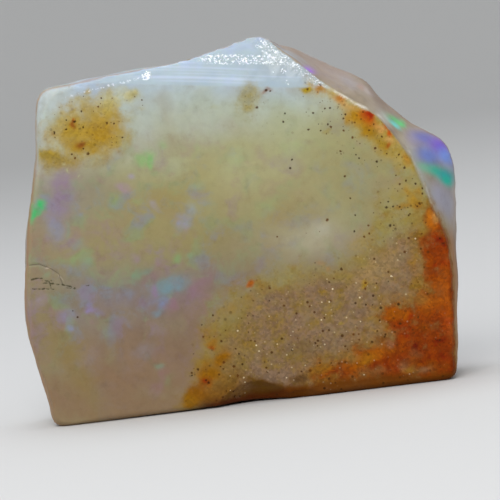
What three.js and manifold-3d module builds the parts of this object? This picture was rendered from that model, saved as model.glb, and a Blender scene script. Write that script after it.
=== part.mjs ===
// A rough opal: one natural stone, a slab-like chunk of milky seam opal about 34 mm wide.
//
// The front is one large flat face with a sandy, iron-stained skin. Above it a saw has left a band that
// leans back, with the blade's steps across it. On the upper right the stone is wider behind than in
// front, so a glassy bevel runs from the edge of the face back to the rim, its widest contour. Behind
// the rim the stone closes in a rough natural back, where six broad flakes have come off and left
// blunt ridges between them. It stands on the flat it was sawn off on. Its edges are worn round.
//
// Millimetres, +Z up. The face looks along -Y, +X is to the right of someone looking at it, and the
// origin is the middle of the stone's box at the surface it stands on.
import * as THREE from "three";
import { ImprovedNoise } from "three/addons/math/ImprovedNoise.js";
import { mergeVertices } from "three/addons/utils/BufferGeometryUtils.js";
import Module from "manifold-3d";

const wasm = await Module();
wasm.setup();

// ---- Driving sizes ----

const THICKNESS = 12; // from the face to the highest point of the back
const STATION_STEP = 1.15; // spacing of the points along a straight side
const WEAR_STEPS = 4; // steps round a worn corner

// The corners of the stone, clockwise from the left foot as seen from the front. Each has its place
// (x, z) on the flat face and on the rim behind it. depth is how far the rim lies behind the face.
// square shapes the way between the two: 1 is a straight bevel, and the larger it is, the sooner the
// side turns into a wall. round is how far the wear reaches along the sides of the corner.
const CORNERS = [
  { name: "left foot", face: [-14.9, 0.4], rim: [-15.45, -0.2], depth: 7.6, square: 14, round: 1.0 },
  { name: "left hip", face: [-16.1, 8.2], rim: [-16.95, 8.2], depth: 6.2, square: 9, round: 2.4 },
  { name: "left waist", face: [-15.3, 14.4], rim: [-15.9, 14.3], depth: 5.4, square: 8, round: 1.6 },
  { name: "left ledge", face: [-13.75, 20.5], rim: [-14.35, 20.7], depth: 4.6, square: 8, round: 0.3 },
  { name: "shoulder", face: [-13.6, 22.4], rim: [-14.3, 22.0], depth: 4.2, square: 8, round: 0.7 },
  { name: "top left", face: [-12.9, 24.85], rim: [-13.75, 25.4], depth: 3.6, square: 7, round: 1.8 },
  { name: "top dip", face: [-11.0, 25.3], rim: [-11.2, 25.6], depth: 3.2, square: 7, round: 0.5 },
  { name: "top run", face: [-5.6, 25.95], rim: [-6.0, 26.05], depth: 3.2, square: 4, round: 1.5 },
  { name: "top rise", face: [-1.6, 26.5], rim: [-1.6, 26.0], depth: 3.6, square: 1.2, round: 1.2 },
  { name: "apex", face: [3.25, 27.85], rim: [4.2, 26.65], depth: 4.4, square: 1, round: 0.75 },
  { name: "bevel top", face: [5.4, 25.5], rim: [5.8, 26.2], depth: 4.4, square: 1.1, round: 0.6 },
  { name: "bevel upper", face: [8.1, 22.95], rim: [8.6, 24.3], depth: 4.4, square: 1.2, round: 0.8 },
  { name: "nick top", face: [10.3, 21.2], rim: [11.1, 22.95], depth: 4.3, square: 1.2, round: 0.6 },
  { name: "nick", face: [11.6, 20.1], rim: [11.85, 21.8], depth: 4.3, square: 1.2, round: 0.4 },
  { name: "bevel middle", face: [12.85, 18.1], rim: [13.55, 19.9], depth: 4.3, square: 1.2, round: 1.0 },
  { name: "bevel corner", face: [13.6, 16.4], rim: [16.6, 17.7], depth: 4.4, square: 1.2, round: 1.1 },
  { name: "bevel lower", face: [14.35, 13.7], rim: [17.1, 15.5], depth: 4.8, square: 1.3, round: 1.0 },
  { name: "right waist", face: [15.55, 10.3], rim: [16.5, 9.6], depth: 5.4, square: 2, round: 0.8 },
  { name: "right low", face: [15.3, 5.6], rim: [15.95, 5.0], depth: 5.8, square: 5, round: 1.5 },
  { name: "right foot", face: [14.75, 0.35], rim: [15.15, -0.2], depth: 7.2, square: 14, round: 0.9 },
];

// Rings from the face (0) back to the rim (1), as shares of the rim's depth.
const FRONT_RINGS = [0, 0.03, 0.09, 0.2, 0.4, 0.7, 1];

// Rings behind the rim: how wide they are, and how far they lie between the rim and the back.
const BACK_RINGS = [
  { scale: 0.99, back: 0.24 },
  { scale: 0.96, back: 0.5 },
  { scale: 0.9, back: 0.72 },
  { scale: 0.8, back: 0.86 },
  { scale: 0.65, back: 0.93 },
  { scale: 0.45, back: 0.97 },
  { scale: 0.22, back: 0.99 },
];
const BACK_CENTRE = new THREE.Vector2(0.4, 12);

// The natural relief: the side walls are nearly smooth, the back is lumpy, and the face is flat.
const WALL_RELIEF = 0.16;
const BACK_RELIEF = 0.9;
const RELIEF_WAVE = 7; // distance between lumps
const RELIEF_OFFSET = 3.7; // keeps the relief of the three directions apart
const FOOT_FREE = 2; // the relief fades out this far above the base

// The sawn band above the face: the line it starts on, how far it leans back, and the blade's steps.
const SAW_LINE = { left: new THREE.Vector2(-6.6, 25.0), right: new THREE.Vector2(7.6, 22.95) };
const SAW_LEAN = THREE.MathUtils.degToRad(15);
const SAW_STEPS = [0.42, 0.78, 1.12]; // heights above the line, along the band
const SAW_STEP_DEPTH = 0.07;
const SAW_STEP_WIDTH = 0.16;

// Below the ledge the left side of the face falls away a little, most at its outer end.
const LEDGE = { outer: new THREE.Vector2(-17, 22.3), inner: new THREE.Vector2(-11, 19.4) };
const LEDGE_DEPTH = 0.4;

// Between its feet the base arches up by this much.
const ARCH = { left: -13.2, top: -0.3, right: 4.6, rise: 0.2 };

// Shell-shaped hollows, where a flake has come off: the spot on the stone's surface, the way the flake
// faced, the radius of the hollow's curve, and how deep the hollow is at that spot.
const FLAKES = [
  { name: "chip", at: [-0.2, 0, 0], facing: [0, -0.8, -0.6], radius: 4.5, depth: 1.25 },
  { name: "chip left", at: [-3.6, 0, 0], facing: [0, -0.7, -0.7], radius: 4.9, depth: 0.38 },
  { name: "chip right", at: [3.2, 0, 0], facing: [0, -0.75, -0.65], radius: 4.9, depth: 0.5 },
  { name: "back high right", at: [9.5, 10.6, 17.5], facing: [0.34, 0.9, 0.22], radius: 60, depth: 1.1 },
  { name: "back high left", at: [-6.5, 11.4, 20], facing: [-0.06, 0.94, 0.34], radius: 75, depth: 1.2 },
  { name: "back low left", at: [-10.5, 11, 8.5], facing: [-0.36, 0.93, -0.08], radius: 55, depth: 1.2 },
  { name: "back low right", at: [8.5, 11.4, 5.5], facing: [0.2, 0.95, -0.22], radius: 48, depth: 1.1 },
  { name: "back middle", at: [1.5, 12.2, 13], facing: [0.05, 0.99, 0.1], radius: 40, depth: 0.55 },
  { name: "back foot", at: [-3.5, 11.8, 3], facing: [-0.1, 0.93, -0.36], radius: 50, depth: 0.8 },
];
const FLAKE_DETAIL = 2.6; // subdivisions of a hollow for each square root of its radius

const REACH = 80; // larger than the stone, for blocks that cut all of one side away

// ---- The body: rings of stations lofted from the face to the back ----

// An outline's corners, with the points where the wear of each begins and ends.
function wornOutline(which) {
  const points = CORNERS.map((corner) => new THREE.Vector2(...corner[which]));
  return points.map((corner, i) => {
    const wornTowards = (other) => {
      const side = corner.distanceTo(other);
      return corner.clone().lerp(other, Math.min(CORNERS[i].round, 0.45 * side) / side);
    };
    const enter = wornTowards(points.at(i - 1));
    const leave = wornTowards(points[(i + 1) % points.length]);
    return { corner, enter, leave };
  });
}

// Where the stations lie: round each worn corner, then along the side that follows it.
function stationList(outline) {
  return outline.flatMap(({ leave }, i) => {
    const next = outline[(i + 1) % outline.length];
    const steps = Math.max(1, Math.round(leave.distanceTo(next.enter) / STATION_STEP));
    const round = Array.from({ length: WEAR_STEPS + 1 }, (_, k) => ({ i, turn: k / WEAR_STEPS }));
    const straight = Array.from({ length: steps - 1 }, (_, k) => ({ i, along: (k + 1) / steps }));
    return [...round, ...straight];
  });
}

function stationPoint(outline, { i, turn, along }) {
  const { enter, corner, leave } = outline[i];
  if (along === undefined) return new THREE.QuadraticBezierCurve(enter, corner, leave).getPoint(turn);
  return leave.clone().lerp(outline[(i + 1) % outline.length].enter, along);
}

// A corner's own number, such as depth, shared out along the side to the next corner.
function stationValue(key, { i, along = 0 }) {
  const next = CORNERS[(i + 1) % CORNERS.length];
  return THREE.MathUtils.lerp(CORNERS[i][key], next[key], along);
}

const noise = new ImprovedNoise();

// Moves a point by smooth noise in all three directions, up to amount.
function weather(point, amount) {
  const { x, y, z } = point.clone().divideScalar(RELIEF_WAVE);
  const shift = [1, 2, 3].map((k) => noise.noise(x + k * RELIEF_OFFSET, y, z));
  const fade = THREE.MathUtils.smoothstep(point.z, 0, FOOT_FREE);
  return point.addScaledVector(new THREE.Vector3(...shift), amount * fade);
}

function frontRing(share, stations, face, rim) {
  return stations.map((station) => {
    const outwards = 1 - (1 - share) ** stationValue("square", station);
    const flat = stationPoint(face, station).lerp(stationPoint(rim, station), outwards);
    const depth = share * stationValue("depth", station);
    return weather(new THREE.Vector3(flat.x, depth, flat.y), WALL_RELIEF * share);
  });
}

function backRing({ scale, back }, stations, rim) {
  return stations.map((station) => {
    const flat = BACK_CENTRE.clone().lerp(stationPoint(rim, station), scale);
    const depth = THREE.MathUtils.lerp(stationValue("depth", station), THICKNESS, back);
    const relief = THREE.MathUtils.lerp(WALL_RELIEF, BACK_RELIEF, back);
    return weather(new THREE.Vector3(flat.x, depth, flat.y), relief);
  });
}

// The closed surface: the rings joined by strips, the flat face in front and a fan at the back.
function bodyGeometry() {
  const face = wornOutline("face");
  const rim = wornOutline("rim");
  const stations = stationList(rim);
  const rings = [
    ...FRONT_RINGS.map((share) => frontRing(share, stations, face, rim)),
    ...BACK_RINGS.map((ring) => backRing(ring, stations, rim)),
  ];
  const tip = weather(new THREE.Vector3(BACK_CENTRE.x, THICKNESS, BACK_CENTRE.y), BACK_RELIEF);
  const points = [...rings.flat(), tip];
  const flatFace = rings[0].map((point) => new THREE.Vector2(point.x, point.z));
  const triangles = THREE.ShapeUtils.triangulateShape(flatFace, []).flat();
  const at = (ring, k) => ring * stations.length + (k % stations.length);
  for (let ring = 0; ring + 1 < rings.length; ring++) {
    for (let k = 0; k < stations.length; k++) {
      triangles.push(at(ring, k), at(ring, k + 1), at(ring + 1, k));
      triangles.push(at(ring, k + 1), at(ring + 1, k + 1), at(ring + 1, k));
    }
  }
  for (let k = 0; k < stations.length; k++) {
    triangles.push(at(rings.length - 1, k), at(rings.length - 1, k + 1), points.length - 1);
  }
  const geometry = new THREE.BufferGeometry().setFromPoints(points);
  geometry.setIndex(triangles);
  return geometry;
}

// ---- Solids for cutting ----

function toSolid(geometry) {
  const bare = geometry.clone();
  bare.deleteAttribute("normal");
  bare.deleteAttribute("uv");
  const merged = mergeVertices(bare, 1e-4);
  const mesh = new wasm.Mesh({
    numProp: 3,
    vertProperties: merged.attributes.position.array,
    triVerts: new Uint32Array(merged.index.array),
  });
  return new wasm.Manifold(mesh);
}

function toGeometry(solid) {
  const mesh = solid.getMesh();
  const geometry = new THREE.BufferGeometry();
  geometry.setAttribute("position", new THREE.BufferAttribute(mesh.vertProperties, 3));
  geometry.setIndex(new THREE.BufferAttribute(mesh.triVerts, 1));
  return geometry;
}

// A block that fills the space beyond a plane, on the side its normal points to.
function beyond(point, normal) {
  const turn = new THREE.Quaternion().setFromUnitVectors(new THREE.Vector3(0, 0, 1), normal);
  const block = new THREE.BoxGeometry(REACH, REACH, REACH).translate(0, 0, REACH / 2);
  return toSolid(block.applyQuaternion(turn).translate(point.x, point.y, point.z));
}

// A flat-sided piece: an outline of (x, z) points that reaches right through the stone.
function prism(outline) {
  const shape = new THREE.Shape(outline.map(([x, z]) => new THREE.Vector2(x, z)));
  const geometry = new THREE.ExtrudeGeometry(shape, { depth: REACH, bevelEnabled: false });
  return toSolid(geometry.rotateX(Math.PI / 2).translate(0, REACH / 2, 0));
}

// ---- The cuts ----

// The plane of the sawn band: it holds the saw line and leans back from the face.
function sawPlane() {
  const { left, right } = SAW_LINE;
  const along = new THREE.Vector3(right.x - left.x, 0, right.y - left.y).normalize();
  const normal = new THREE.Vector3(0, -1, 0).applyAxisAngle(along, -SAW_LEAN);
  const up = new THREE.Vector3().crossVectors(normal, along);
  return { origin: new THREE.Vector3(left.x, 0, left.y), along, up, normal };
}

function sawBand() {
  const { origin, normal } = sawPlane();
  return beyond(origin, normal);
}

// One step of the blade: a shallow groove along the band.
function sawStep(height) {
  const { origin, along, up, normal } = sawPlane();
  const place = new THREE.Matrix4().makeBasis(along, up, normal);
  place.setPosition(origin.addScaledVector(up, height));
  const groove = new THREE.BoxGeometry(REACH, SAW_STEP_WIDTH, 2 * SAW_STEP_DEPTH);
  return toSolid(groove.applyMatrix4(place));
}

function fallBelowLedge() {
  const { outer, inner } = LEDGE;
  const tilt = Math.atan2(LEDGE_DEPTH, inner.x - outer.x);
  const away = new THREE.Vector3(-Math.sin(tilt), -Math.cos(tilt), 0);
  const below = prism([[outer.x, outer.y], [outer.x, -1], [inner.x, -1], [inner.x, inner.y]]);
  return beyond(new THREE.Vector3(inner.x, 0, inner.y), away).intersect(below);
}

function archUnderBase() {
  const { left, top, right, rise } = ARCH;
  return prism([[left, 0], [left, -1], [right, -1], [right, 0], [top, rise]]);
}

function flake({ at, facing, radius, depth }) {
  const out = new THREE.Vector3(...facing).normalize();
  const centre = new THREE.Vector3(...at).addScaledVector(out, radius - depth);
  const ball = new THREE.IcosahedronGeometry(radius, Math.ceil(FLAKE_DETAIL * Math.sqrt(radius)));
  return toSolid(ball.translate(centre.x, centre.y, centre.z));
}

// ---- The stone ----

function opalGeometry() {
  const floor = beyond(new THREE.Vector3(0, 0, 0), new THREE.Vector3(0, 0, -1));
  const cuts = [
    floor,
    archUnderBase(),
    sawBand(),
    ...SAW_STEPS.map(sawStep),
    fallBelowLedge(),
    ...FLAKES.map(flake),
  ];
  const stone = cuts.reduce((solid, cut) => solid.subtract(cut), toSolid(bodyGeometry()));
  const geometry = toGeometry(stone);
  geometry.computeBoundingBox();
  const middle = geometry.boundingBox.getCenter(new THREE.Vector3());
  return geometry.translate(-middle.x, -middle.y, -geometry.boundingBox.min.z);
}

const milkyOpal = new THREE.MeshStandardMaterial({ color: "#a89f80", roughness: 0.35, metalness: 0 });

const opal = new THREE.Mesh(opalGeometry(), milkyOpal);
opal.name = "opal";

const roughOpal = new THREE.Group();
roughOpal.add(opal);
export default roughOpal;
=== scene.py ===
# %% [markdown]
# # A rough opal
# The stone is one natural chunk of milky precious opal, about 34 mm wide. Its front is a flat face under a
# thin skin of sandstone and iron stain, a saw has left a band along the top, and a glassy bevel runs down
# the upper right. The whole stone is one piece, so the lesson is about its surface: first the camera and
# the light, then the fine relief of the mesh, and then one material that holds every finish the stone has.

# %% Load the CAD frame
import math

import bpy
import numpy as np
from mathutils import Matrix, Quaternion, Vector, noise


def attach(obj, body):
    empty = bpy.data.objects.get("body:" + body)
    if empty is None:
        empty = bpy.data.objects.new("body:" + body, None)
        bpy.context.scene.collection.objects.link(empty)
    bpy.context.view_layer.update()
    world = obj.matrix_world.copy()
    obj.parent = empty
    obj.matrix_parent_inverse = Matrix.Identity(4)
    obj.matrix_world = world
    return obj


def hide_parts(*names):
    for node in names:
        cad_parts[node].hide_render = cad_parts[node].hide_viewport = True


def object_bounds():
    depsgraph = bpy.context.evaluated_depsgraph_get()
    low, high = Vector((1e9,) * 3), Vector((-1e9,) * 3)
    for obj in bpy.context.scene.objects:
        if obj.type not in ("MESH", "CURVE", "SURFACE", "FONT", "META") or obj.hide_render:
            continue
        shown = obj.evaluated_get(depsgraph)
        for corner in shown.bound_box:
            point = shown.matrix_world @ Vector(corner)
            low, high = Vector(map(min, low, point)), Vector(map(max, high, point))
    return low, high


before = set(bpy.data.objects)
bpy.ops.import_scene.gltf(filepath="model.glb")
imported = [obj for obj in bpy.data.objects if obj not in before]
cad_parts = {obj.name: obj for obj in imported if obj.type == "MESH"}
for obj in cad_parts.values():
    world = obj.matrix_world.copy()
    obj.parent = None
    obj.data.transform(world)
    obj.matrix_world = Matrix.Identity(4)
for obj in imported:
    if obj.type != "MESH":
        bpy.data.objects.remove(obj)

cad_low, cad_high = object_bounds()
MM = 0.001
print("CAD box in mm:", [round(v / MM, 2) for v in (*cad_low, *cad_high)])

# %% [markdown]
# ## The camera
# The camera stands straight in front of the flat face and a little above it, with a long lens, as for a
# picture of a gem. It could be placed by eye, but here its distance and the width that it shows at the face
# are set as real sizes, and the lens follows from them. It is rolled by a few degrees, because the stone is
# shown standing on its lower left corner, while here it rests on its sawn base.

# %% Camera
FACE_Y = cad_low.y
VIEW_WIDTH = 37.5 * MM
VIEW_DISTANCE = 280 * MM
VIEW_CENTRE = Vector((0.65 * MM, FACE_Y, 11.57 * MM))
VIEW_ELEVATION = math.radians(4)
VIEW_ROLL = math.radians(-6.95)
SENSOR_WIDTH = 36

bpy.ops.object.select_all(action="DESELECT")
bpy.ops.object.camera_add()
camera = bpy.context.object
camera.name = "camera"
camera.data.sensor_width = SENSOR_WIDTH
camera.data.lens = SENSOR_WIDTH * VIEW_DISTANCE / VIEW_WIDTH
camera.data.clip_start = 10 * MM
camera.data.clip_end = 5
look_up = Quaternion((1, 0, 0), math.radians(90) - VIEW_ELEVATION)
camera.rotation_mode = "QUATERNION"
camera.rotation_quaternion = look_up @ Quaternion((0, 0, 1), VIEW_ROLL)
backwards = look_up @ Vector((0, 0, 1))
camera.location = VIEW_CENTRE + backwards * VIEW_DISTANCE
bpy.context.scene.camera = camera
bpy.context.scene.view_settings.view_transform = "Standard"
print("lens in mm:", round(camera.data.lens, 1))

# %% [markdown]
# ## Colours
# Every colour is written as the sRGB hex value that a paint chart would give, and one function turns it
# into the linear numbers that the renderer works with.


# %% From a hex colour to linear numbers
def linear(code):
    """The linear RGBA of an sRGB hex colour such as "#a29d71"."""
    parts = [int(code[i : i + 2], 16) / 255 for i in (1, 3, 5)]
    return tuple(c / 12.92 if c <= 0.04045 else ((c + 0.055) / 1.055) ** 2.4 for c in parts) + (1.0,)


print("mid grey #808080 is", [round(v, 3) for v in linear("#808080")])

# %% [markdown]
# ## The stage
# Around the stone lies a plain pale studio floor that curves up into a wall on every side, like a wide
# shallow bowl. It could be a flat plane, but then its edge would show from a low camera. The bowl is drawn
# as by hand: a circle, whose rim is extruded outwards and upwards a few times.

# %% Floor
FLOOR_RADIUS = 0.50
COVE_RADIUS = 0.30
COVE_STEPS = 10
RIM_CORNERS = 96

bpy.ops.mesh.primitive_circle_add(vertices=RIM_CORNERS, radius=FLOOR_RADIUS, fill_type="NGON")
floor = bpy.context.object
floor.name = "studio_floor"
bpy.ops.object.mode_set(mode="EDIT")
bpy.ops.mesh.select_mode(type="EDGE")
bpy.ops.mesh.select_all(action="SELECT")
bpy.ops.mesh.region_to_loop()
rim_radius = FLOOR_RADIUS
rim_height = 0.0
for step in range(1, COVE_STEPS + 1):
    turn = math.radians(90) * step / COVE_STEPS
    next_radius = FLOOR_RADIUS + COVE_RADIUS * math.sin(turn)
    next_height = COVE_RADIUS * (1 - math.cos(turn))
    bpy.ops.mesh.extrude_edges_move(TRANSFORM_OT_translate={"value": (0, 0, next_height - rim_height)})
    grow = next_radius / rim_radius
    bpy.ops.transform.resize(value=(grow, grow, 1), center_override=(0, 0, 0))
    rim_radius, rim_height = next_radius, next_height
bpy.ops.object.mode_set(mode="OBJECT")
bpy.ops.object.shade_smooth()

floor_paint = bpy.data.materials.new("matt_floor_paint")
floor_paint.use_nodes = True
paint = floor_paint.node_tree.nodes["Principled BSDF"]
paint.inputs["Base Color"].default_value = linear("#d6d5d3")
paint.inputs["Roughness"].default_value = 0.9
floor.data.materials.append(floor_paint)
print("floor reaches", round(rim_radius, 2), "m, its wall", round(rim_height, 2), "m")

# %% [markdown]
# ## The light
# A gem dealer shows a milky stone in soft light, because a hard lamp would hide its colour under white
# glare. Here one large softbox stands in front and above, and a weaker one hangs over the stone, so that
# the sawn band at the top is the brightest, helped by sheen painted into its colour. The air itself is pale
# and fills the shadows, as white walls would.

# %% Softboxes
STONE_MIDDLE = Vector((0, 0, 13 * MM))


def softbox(name, place_mm, size_mm, watts, colour):
    """A square soft light at a place in mm, aimed at the middle of the stone."""
    place = Vector(place_mm) * MM
    aim = (STONE_MIDDLE - place).to_track_quat("-Z", "Y").to_euler()
    bpy.ops.object.light_add(type="AREA", location=place, rotation=aim)
    light = bpy.context.object
    light.name = name
    light.data.shape = "SQUARE"
    light.data.size = size_mm * MM
    light.data.energy = watts
    light.data.color = linear(colour)[:3]


softbox("key_box", (-70, -330, 230), 240, 0.95, "#ffffff")
softbox("top_box", (-30, 60, 340), 240, 0.45, "#f2f6ff")

world = bpy.data.worlds.new("studio_air")
world.use_nodes = True
world.node_tree.nodes["Background"].inputs["Color"].default_value = linear("#eef1f4")
world.node_tree.nodes["Background"].inputs["Strength"].default_value = 0.6
bpy.context.scene.world = world

# %% [markdown]
# ## The stone's mesh
# The CAD stone has the right form but long thin triangles, which can't carry fine relief. It could be
# retopologised by hand. A voxel remesh does the same in one step, but it rounds every edge a little. So the
# front is divided once more, and the places with the finest detail again, and then a shrinkwrap lays the
# vertices back on the CAD surface. The CAD node stays as it is, and a merged copy of it is remeshed.

# %% Copy, merge and remesh
VOXEL = 0.26 * MM
WELD_DISTANCE = 0.002 * MM

stone = bpy.data.objects.new("rough_opal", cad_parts["opal"].data.copy())
bpy.context.scene.collection.objects.link(stone)
stone.data.materials.clear()


def only(obj):
    """Selects this object and nothing else."""
    bpy.ops.object.select_all(action="DESELECT")
    obj.select_set(True)
    bpy.context.view_layer.objects.active = obj


def edit_all(operator, **settings):
    """Runs one operator on the whole stone in edit mode."""
    only(stone)
    bpy.ops.object.mode_set(mode="EDIT")
    bpy.ops.mesh.select_all(action="SELECT")
    operator(**settings)
    bpy.ops.object.mode_set(mode="OBJECT")


edit_all(bpy.ops.mesh.remove_doubles, threshold=WELD_DISTANCE)
remesh = stone.modifiers.new("remesh", "REMESH")
remesh.mode = "VOXEL"
remesh.voxel_size = VOXEL
bpy.ops.object.modifier_apply(modifier=remesh.name)
edit_all(bpy.ops.mesh.vertices_smooth, factor=0.5, repeat=2)
print("faces after the remesh:", len(stone.data.polygons))


# %% Read places and directions from the mesh
def read(items, name):
    """A place or direction of each of many mesh items, such as "co" of the vertices, as rows of an array."""
    values = np.zeros(len(items) * 3, np.float32)
    items.foreach_get(name, values)
    return values.reshape(-1, 3).astype(float)


def divide(chosen):
    """Splits the chosen faces of the stone into four."""
    mesh = stone.data
    only(stone)
    for items in (mesh.vertices, mesh.edges):
        items.foreach_set("select", np.zeros(len(items), bool))
    mesh.polygons.foreach_set("select", chosen)
    bpy.ops.object.mode_set(mode="EDIT")
    bpy.ops.mesh.select_mode(type="FACE")
    bpy.ops.mesh.subdivide(number_cuts=1)
    bpy.ops.object.mode_set(mode="OBJECT")


def soft_step(low, high, value):
    """0 at low and beyond it, 1 at high and beyond it, and a smooth slope between. Low may be the larger."""
    t = np.clip((value - low) / (high - low), 0, 1)
    return t * t * (3 - 2 * t)


# The line where the sawn band begins, in mm across (x) and up (z), as in the CAD source.
SAW_LEFT = np.array((-6.6, 25.0))
SAW_RIGHT = np.array((7.6, 22.95))
SAW_ALONG = (SAW_RIGHT - SAW_LEFT) / np.linalg.norm(SAW_RIGHT - SAW_LEFT)
SAW_UP = np.array((-SAW_ALONG[1], SAW_ALONG[0]))


def above_saw_line(points):
    """How far points lie above the saw line, in mm, seen from the front."""
    return (points[:, [0, 2]] - SAW_LEFT) @ SAW_UP


# The y of a face's direction is -1 where it looks straight to the front.
FRONT_FACES = -0.75
FINE_FACES = -0.7
BAND_MARGIN = 0.3
GROOVES_REACH = 1.5
CRACK_MIDDLE = np.array((-14.5, 11.2))
CRACK_REACH = 2.2

divide(read(stone.data.polygons, "normal")[:, 1] < FRONT_FACES)
centres = read(stone.data.polygons, "center") / MM
on_band = above_saw_line(centres) > -BAND_MARGIN
near_crack = np.hypot(*(centres[:, [0, 2]] - CRACK_MIDDLE).T) < CRACK_REACH
divide((on_band | near_crack) & (read(stone.data.polygons, "normal")[:, 1] < FINE_FACES))

# The saw's grooves are finer than the mesh, so they keep the soft form that the remesh gave them.
corners = read(stone.data.vertices, "co") / MM
grooved = (above_saw_line(corners) > -BAND_MARGIN) & (corners[:, 1] < FACE_Y / MM + GROOVES_REACH)
outside_grooves = stone.vertex_groups.new(name="outside_grooves")
outside_grooves.add(np.flatnonzero(~grooved).tolist(), 1.0, "REPLACE")
wrap = stone.modifiers.new("wrap", "SHRINKWRAP")
wrap.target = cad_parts["opal"]
wrap.wrap_method = "NEAREST_SURFACEPOINT"
wrap.vertex_group = outside_grooves.name
only(stone)
bpy.ops.object.modifier_apply(modifier=wrap.name)
print("triangles after dividing:", sum(len(p.vertices) - 2 for p in stone.data.polygons))

# %% [markdown]
# ## Where each finish lies
# A stone's finishes don't end on edges of its mesh. Sandstone, iron stain and clear opal flow into each
# other along ragged outlines. They could be painted by hand as a texture, but here each outline is drawn as
# a polygon on the flat face, in mm, and every vertex keeps how far inside it lies. The material reads that
# distance and frays it with noise. A distance changes evenly from vertex to vertex, so the border stays
# sharper than the mesh.

# %% Places on the stone
place = read(stone.data.vertices, "co") / MM
facing = read(stone.data.vertex_normals, "vector")
# What the masks below ask for: across, up, behind the flat face, and from facing front (-1) to back (1).
flat = place[:, [0, 2]]
x_mm, z_mm = flat.T
depth = place[:, 1] - FACE_Y / MM
facing_back = facing[:, 1]
# The zones, stains and specks below were drawn a tenth of a millimetre low, so one shift lifts all of them.
LIFT = np.array((-0.016, 0.115))
drawn = flat - LIFT

# What Blender calls the value of each kind of attribute, and the Attribute node's output that gives it back.
KINDS = {"FLOAT": ("value", 2), "FLOAT_COLOR": ("color", 0), "FLOAT_VECTOR": ("vector", 1)}
stored = {}


def store(name, values, kind="FLOAT"):
    """Keeps one number, colour or arrow for each vertex under a name that the material can read."""
    attribute = stone.data.attributes.new(name, kind, "POINT")
    attribute.data.foreach_set(KINDS[kind][0], np.ascontiguousarray(values, np.float32).ravel())
    stored[name] = kind


def away_from_line(points, start, end):
    """How far points lie from the straight line between two points."""
    along = end - start
    t = np.clip((points - start) @ along / (along @ along), 0, 1)
    return np.linalg.norm(points - start - t[:, None] * along, axis=1)


def away_from_path(points, path):
    """How far points lie from a line of several stretches."""
    path = np.array(path, float)
    return np.min([away_from_line(points, a, b) for a, b in zip(path, path[1:])], axis=0)


def inside(points, outline):
    """How far points lie inside a closed outline, in mm, and below 0 outside it."""
    corners = np.array(outline, float)
    within = np.zeros(len(points), bool)
    for (x0, z0), (x1, z1) in zip(corners, np.roll(corners, -1, axis=0)):
        spans = (z0 > points[:, 1]) != (z1 > points[:, 1])
        crossing = x0 + (points[:, 1] - z0) * (x1 - x0) / ((z1 - z0) or 1)
        within ^= spans & (points[:, 0] < crossing)
    away = away_from_path(points, [*outline, outline[0]])
    return np.where(within, away, -away)


print("vertices:", len(place), "deepest:", round(depth.max(), 2), "mm")


# %% Noise at the vertices
def lumps(size, seed, octaves=1):
    """Smooth random heights at each vertex, mostly from -0.6 to 0.6, with lumps about this many mm wide."""
    start = np.array((1.7, -2.3, 3.1)) * seed
    return np.array([noise.fractal(Vector(p), 1.0, 2.0, octaves) for p in place / size + start])


# Outlines are read at a slightly shifted place, so that each border wanders as a real one does.
WANDER = 0.28
shifted = drawn + WANDER * np.column_stack((lumps(0.9, 1, 2), lumps(0.9, 2, 2)))
print("largest shift:", round(float(np.abs(shifted - drawn).max()), 2), "mm")

# %% Outlines of the stained zones
LOWER_RIGHT = [(22, 11), (22, -4)]
SANDSTONE = [
    (-3.2, -4), (-3.2, 1.2), (-2.5, 2.6), (-2.0, 4.2), (-1.3, 5.6), (-0.3, 6.9), (0.8, 7.7), (2.5, 8.1),
    (4.8, 8.5), (7.1, 8.4), (8.9, 9.3), (10.3, 10.3), (11.6, 11.2), (13.8, 11.6), *LOWER_RIGHT,
]
OCHRE_BORDER = [
    (-5.9, -4), (-5.7, 0.6), (-4.8, 1.8), (-4.5, 3.0), (-4.0, 4.2), (-3.5, 5.5), (-3.0, 6.4), (-2.3, 7.4),
    (-1.0, 8.6), (0.1, 9.0), (2.0, 9.2), (3.5, 9.7), (5.2, 9.8), (6.6, 9.4), (7.8, 9.7), (8.8, 10.5),
    (9.7, 11.1), (10.4, 12.7), (10.6, 13.6), (12.0, 14.3), (13.1, 15.4), (13.6, 16.6), (14.2, 15.6), (22, 15),
    *LOWER_RIGHT,
]
OCHRE_EDGE = [
    (6.2, 23.5), (6.6, 22.9), (7.5, 22.5), (8.5, 21.9), (9.1, 21.2), (9.5, 20.2), (9.9, 19.4), (10.5, 18.7),
    (11.1, 17.9), (12.0, 17.2), (12.7, 16.5), (13.6, 16.1), (14.2, 16.8), (12.6, 20.0), (10.2, 22.4),
    (8.0, 23.8),
]
OCHRE_PATCH = [
    (-13.4, 22.1), (-12.6, 22.6), (-12.3, 23.1), (-11.5, 23.7), (-10.8, 24.2), (-9.9, 23.7), (-9.2, 23.7),
    (-8.6, 24.4), (-8.0, 23.6), (-7.8, 22.4), (-7.6, 21.2), (-8.3, 20.4), (-9.6, 20.0), (-10.8, 19.9),
    (-12.0, 20.1), (-12.7, 21.0),
]
RUST_CORNER = [
    (14.6, 12.9), (14.1, 11.7), (13.8, 10.6), (13.5, 9.5), (13.5, 8.5), (13.7, 7.8), (14.1, 7.2), (13.8, 6.8),
    (13.2, 6.4), (12.4, 6.1), (11.3, 5.8), (10.4, 5.7), (10.0, 5.2), (10.4, 4.8), (10.7, 4.2), (10.5, 3.4),
    (9.8, 3.1), (8.8, 3.0), (7.9, 2.8), (7.2, 2.3), (6.3, 2.1), (5.2, 2.0), (4.2, 1.7), (4.3, 1.1),
    (7.1, 1.0), (8.4, 0.8), (9.7, 0.4), (12.5, 0.3), (13.4, -0.4), (22, -0.4), (22, 14),
]
print("corners in the outline of the rust:", len(RUST_CORNER))

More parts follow.
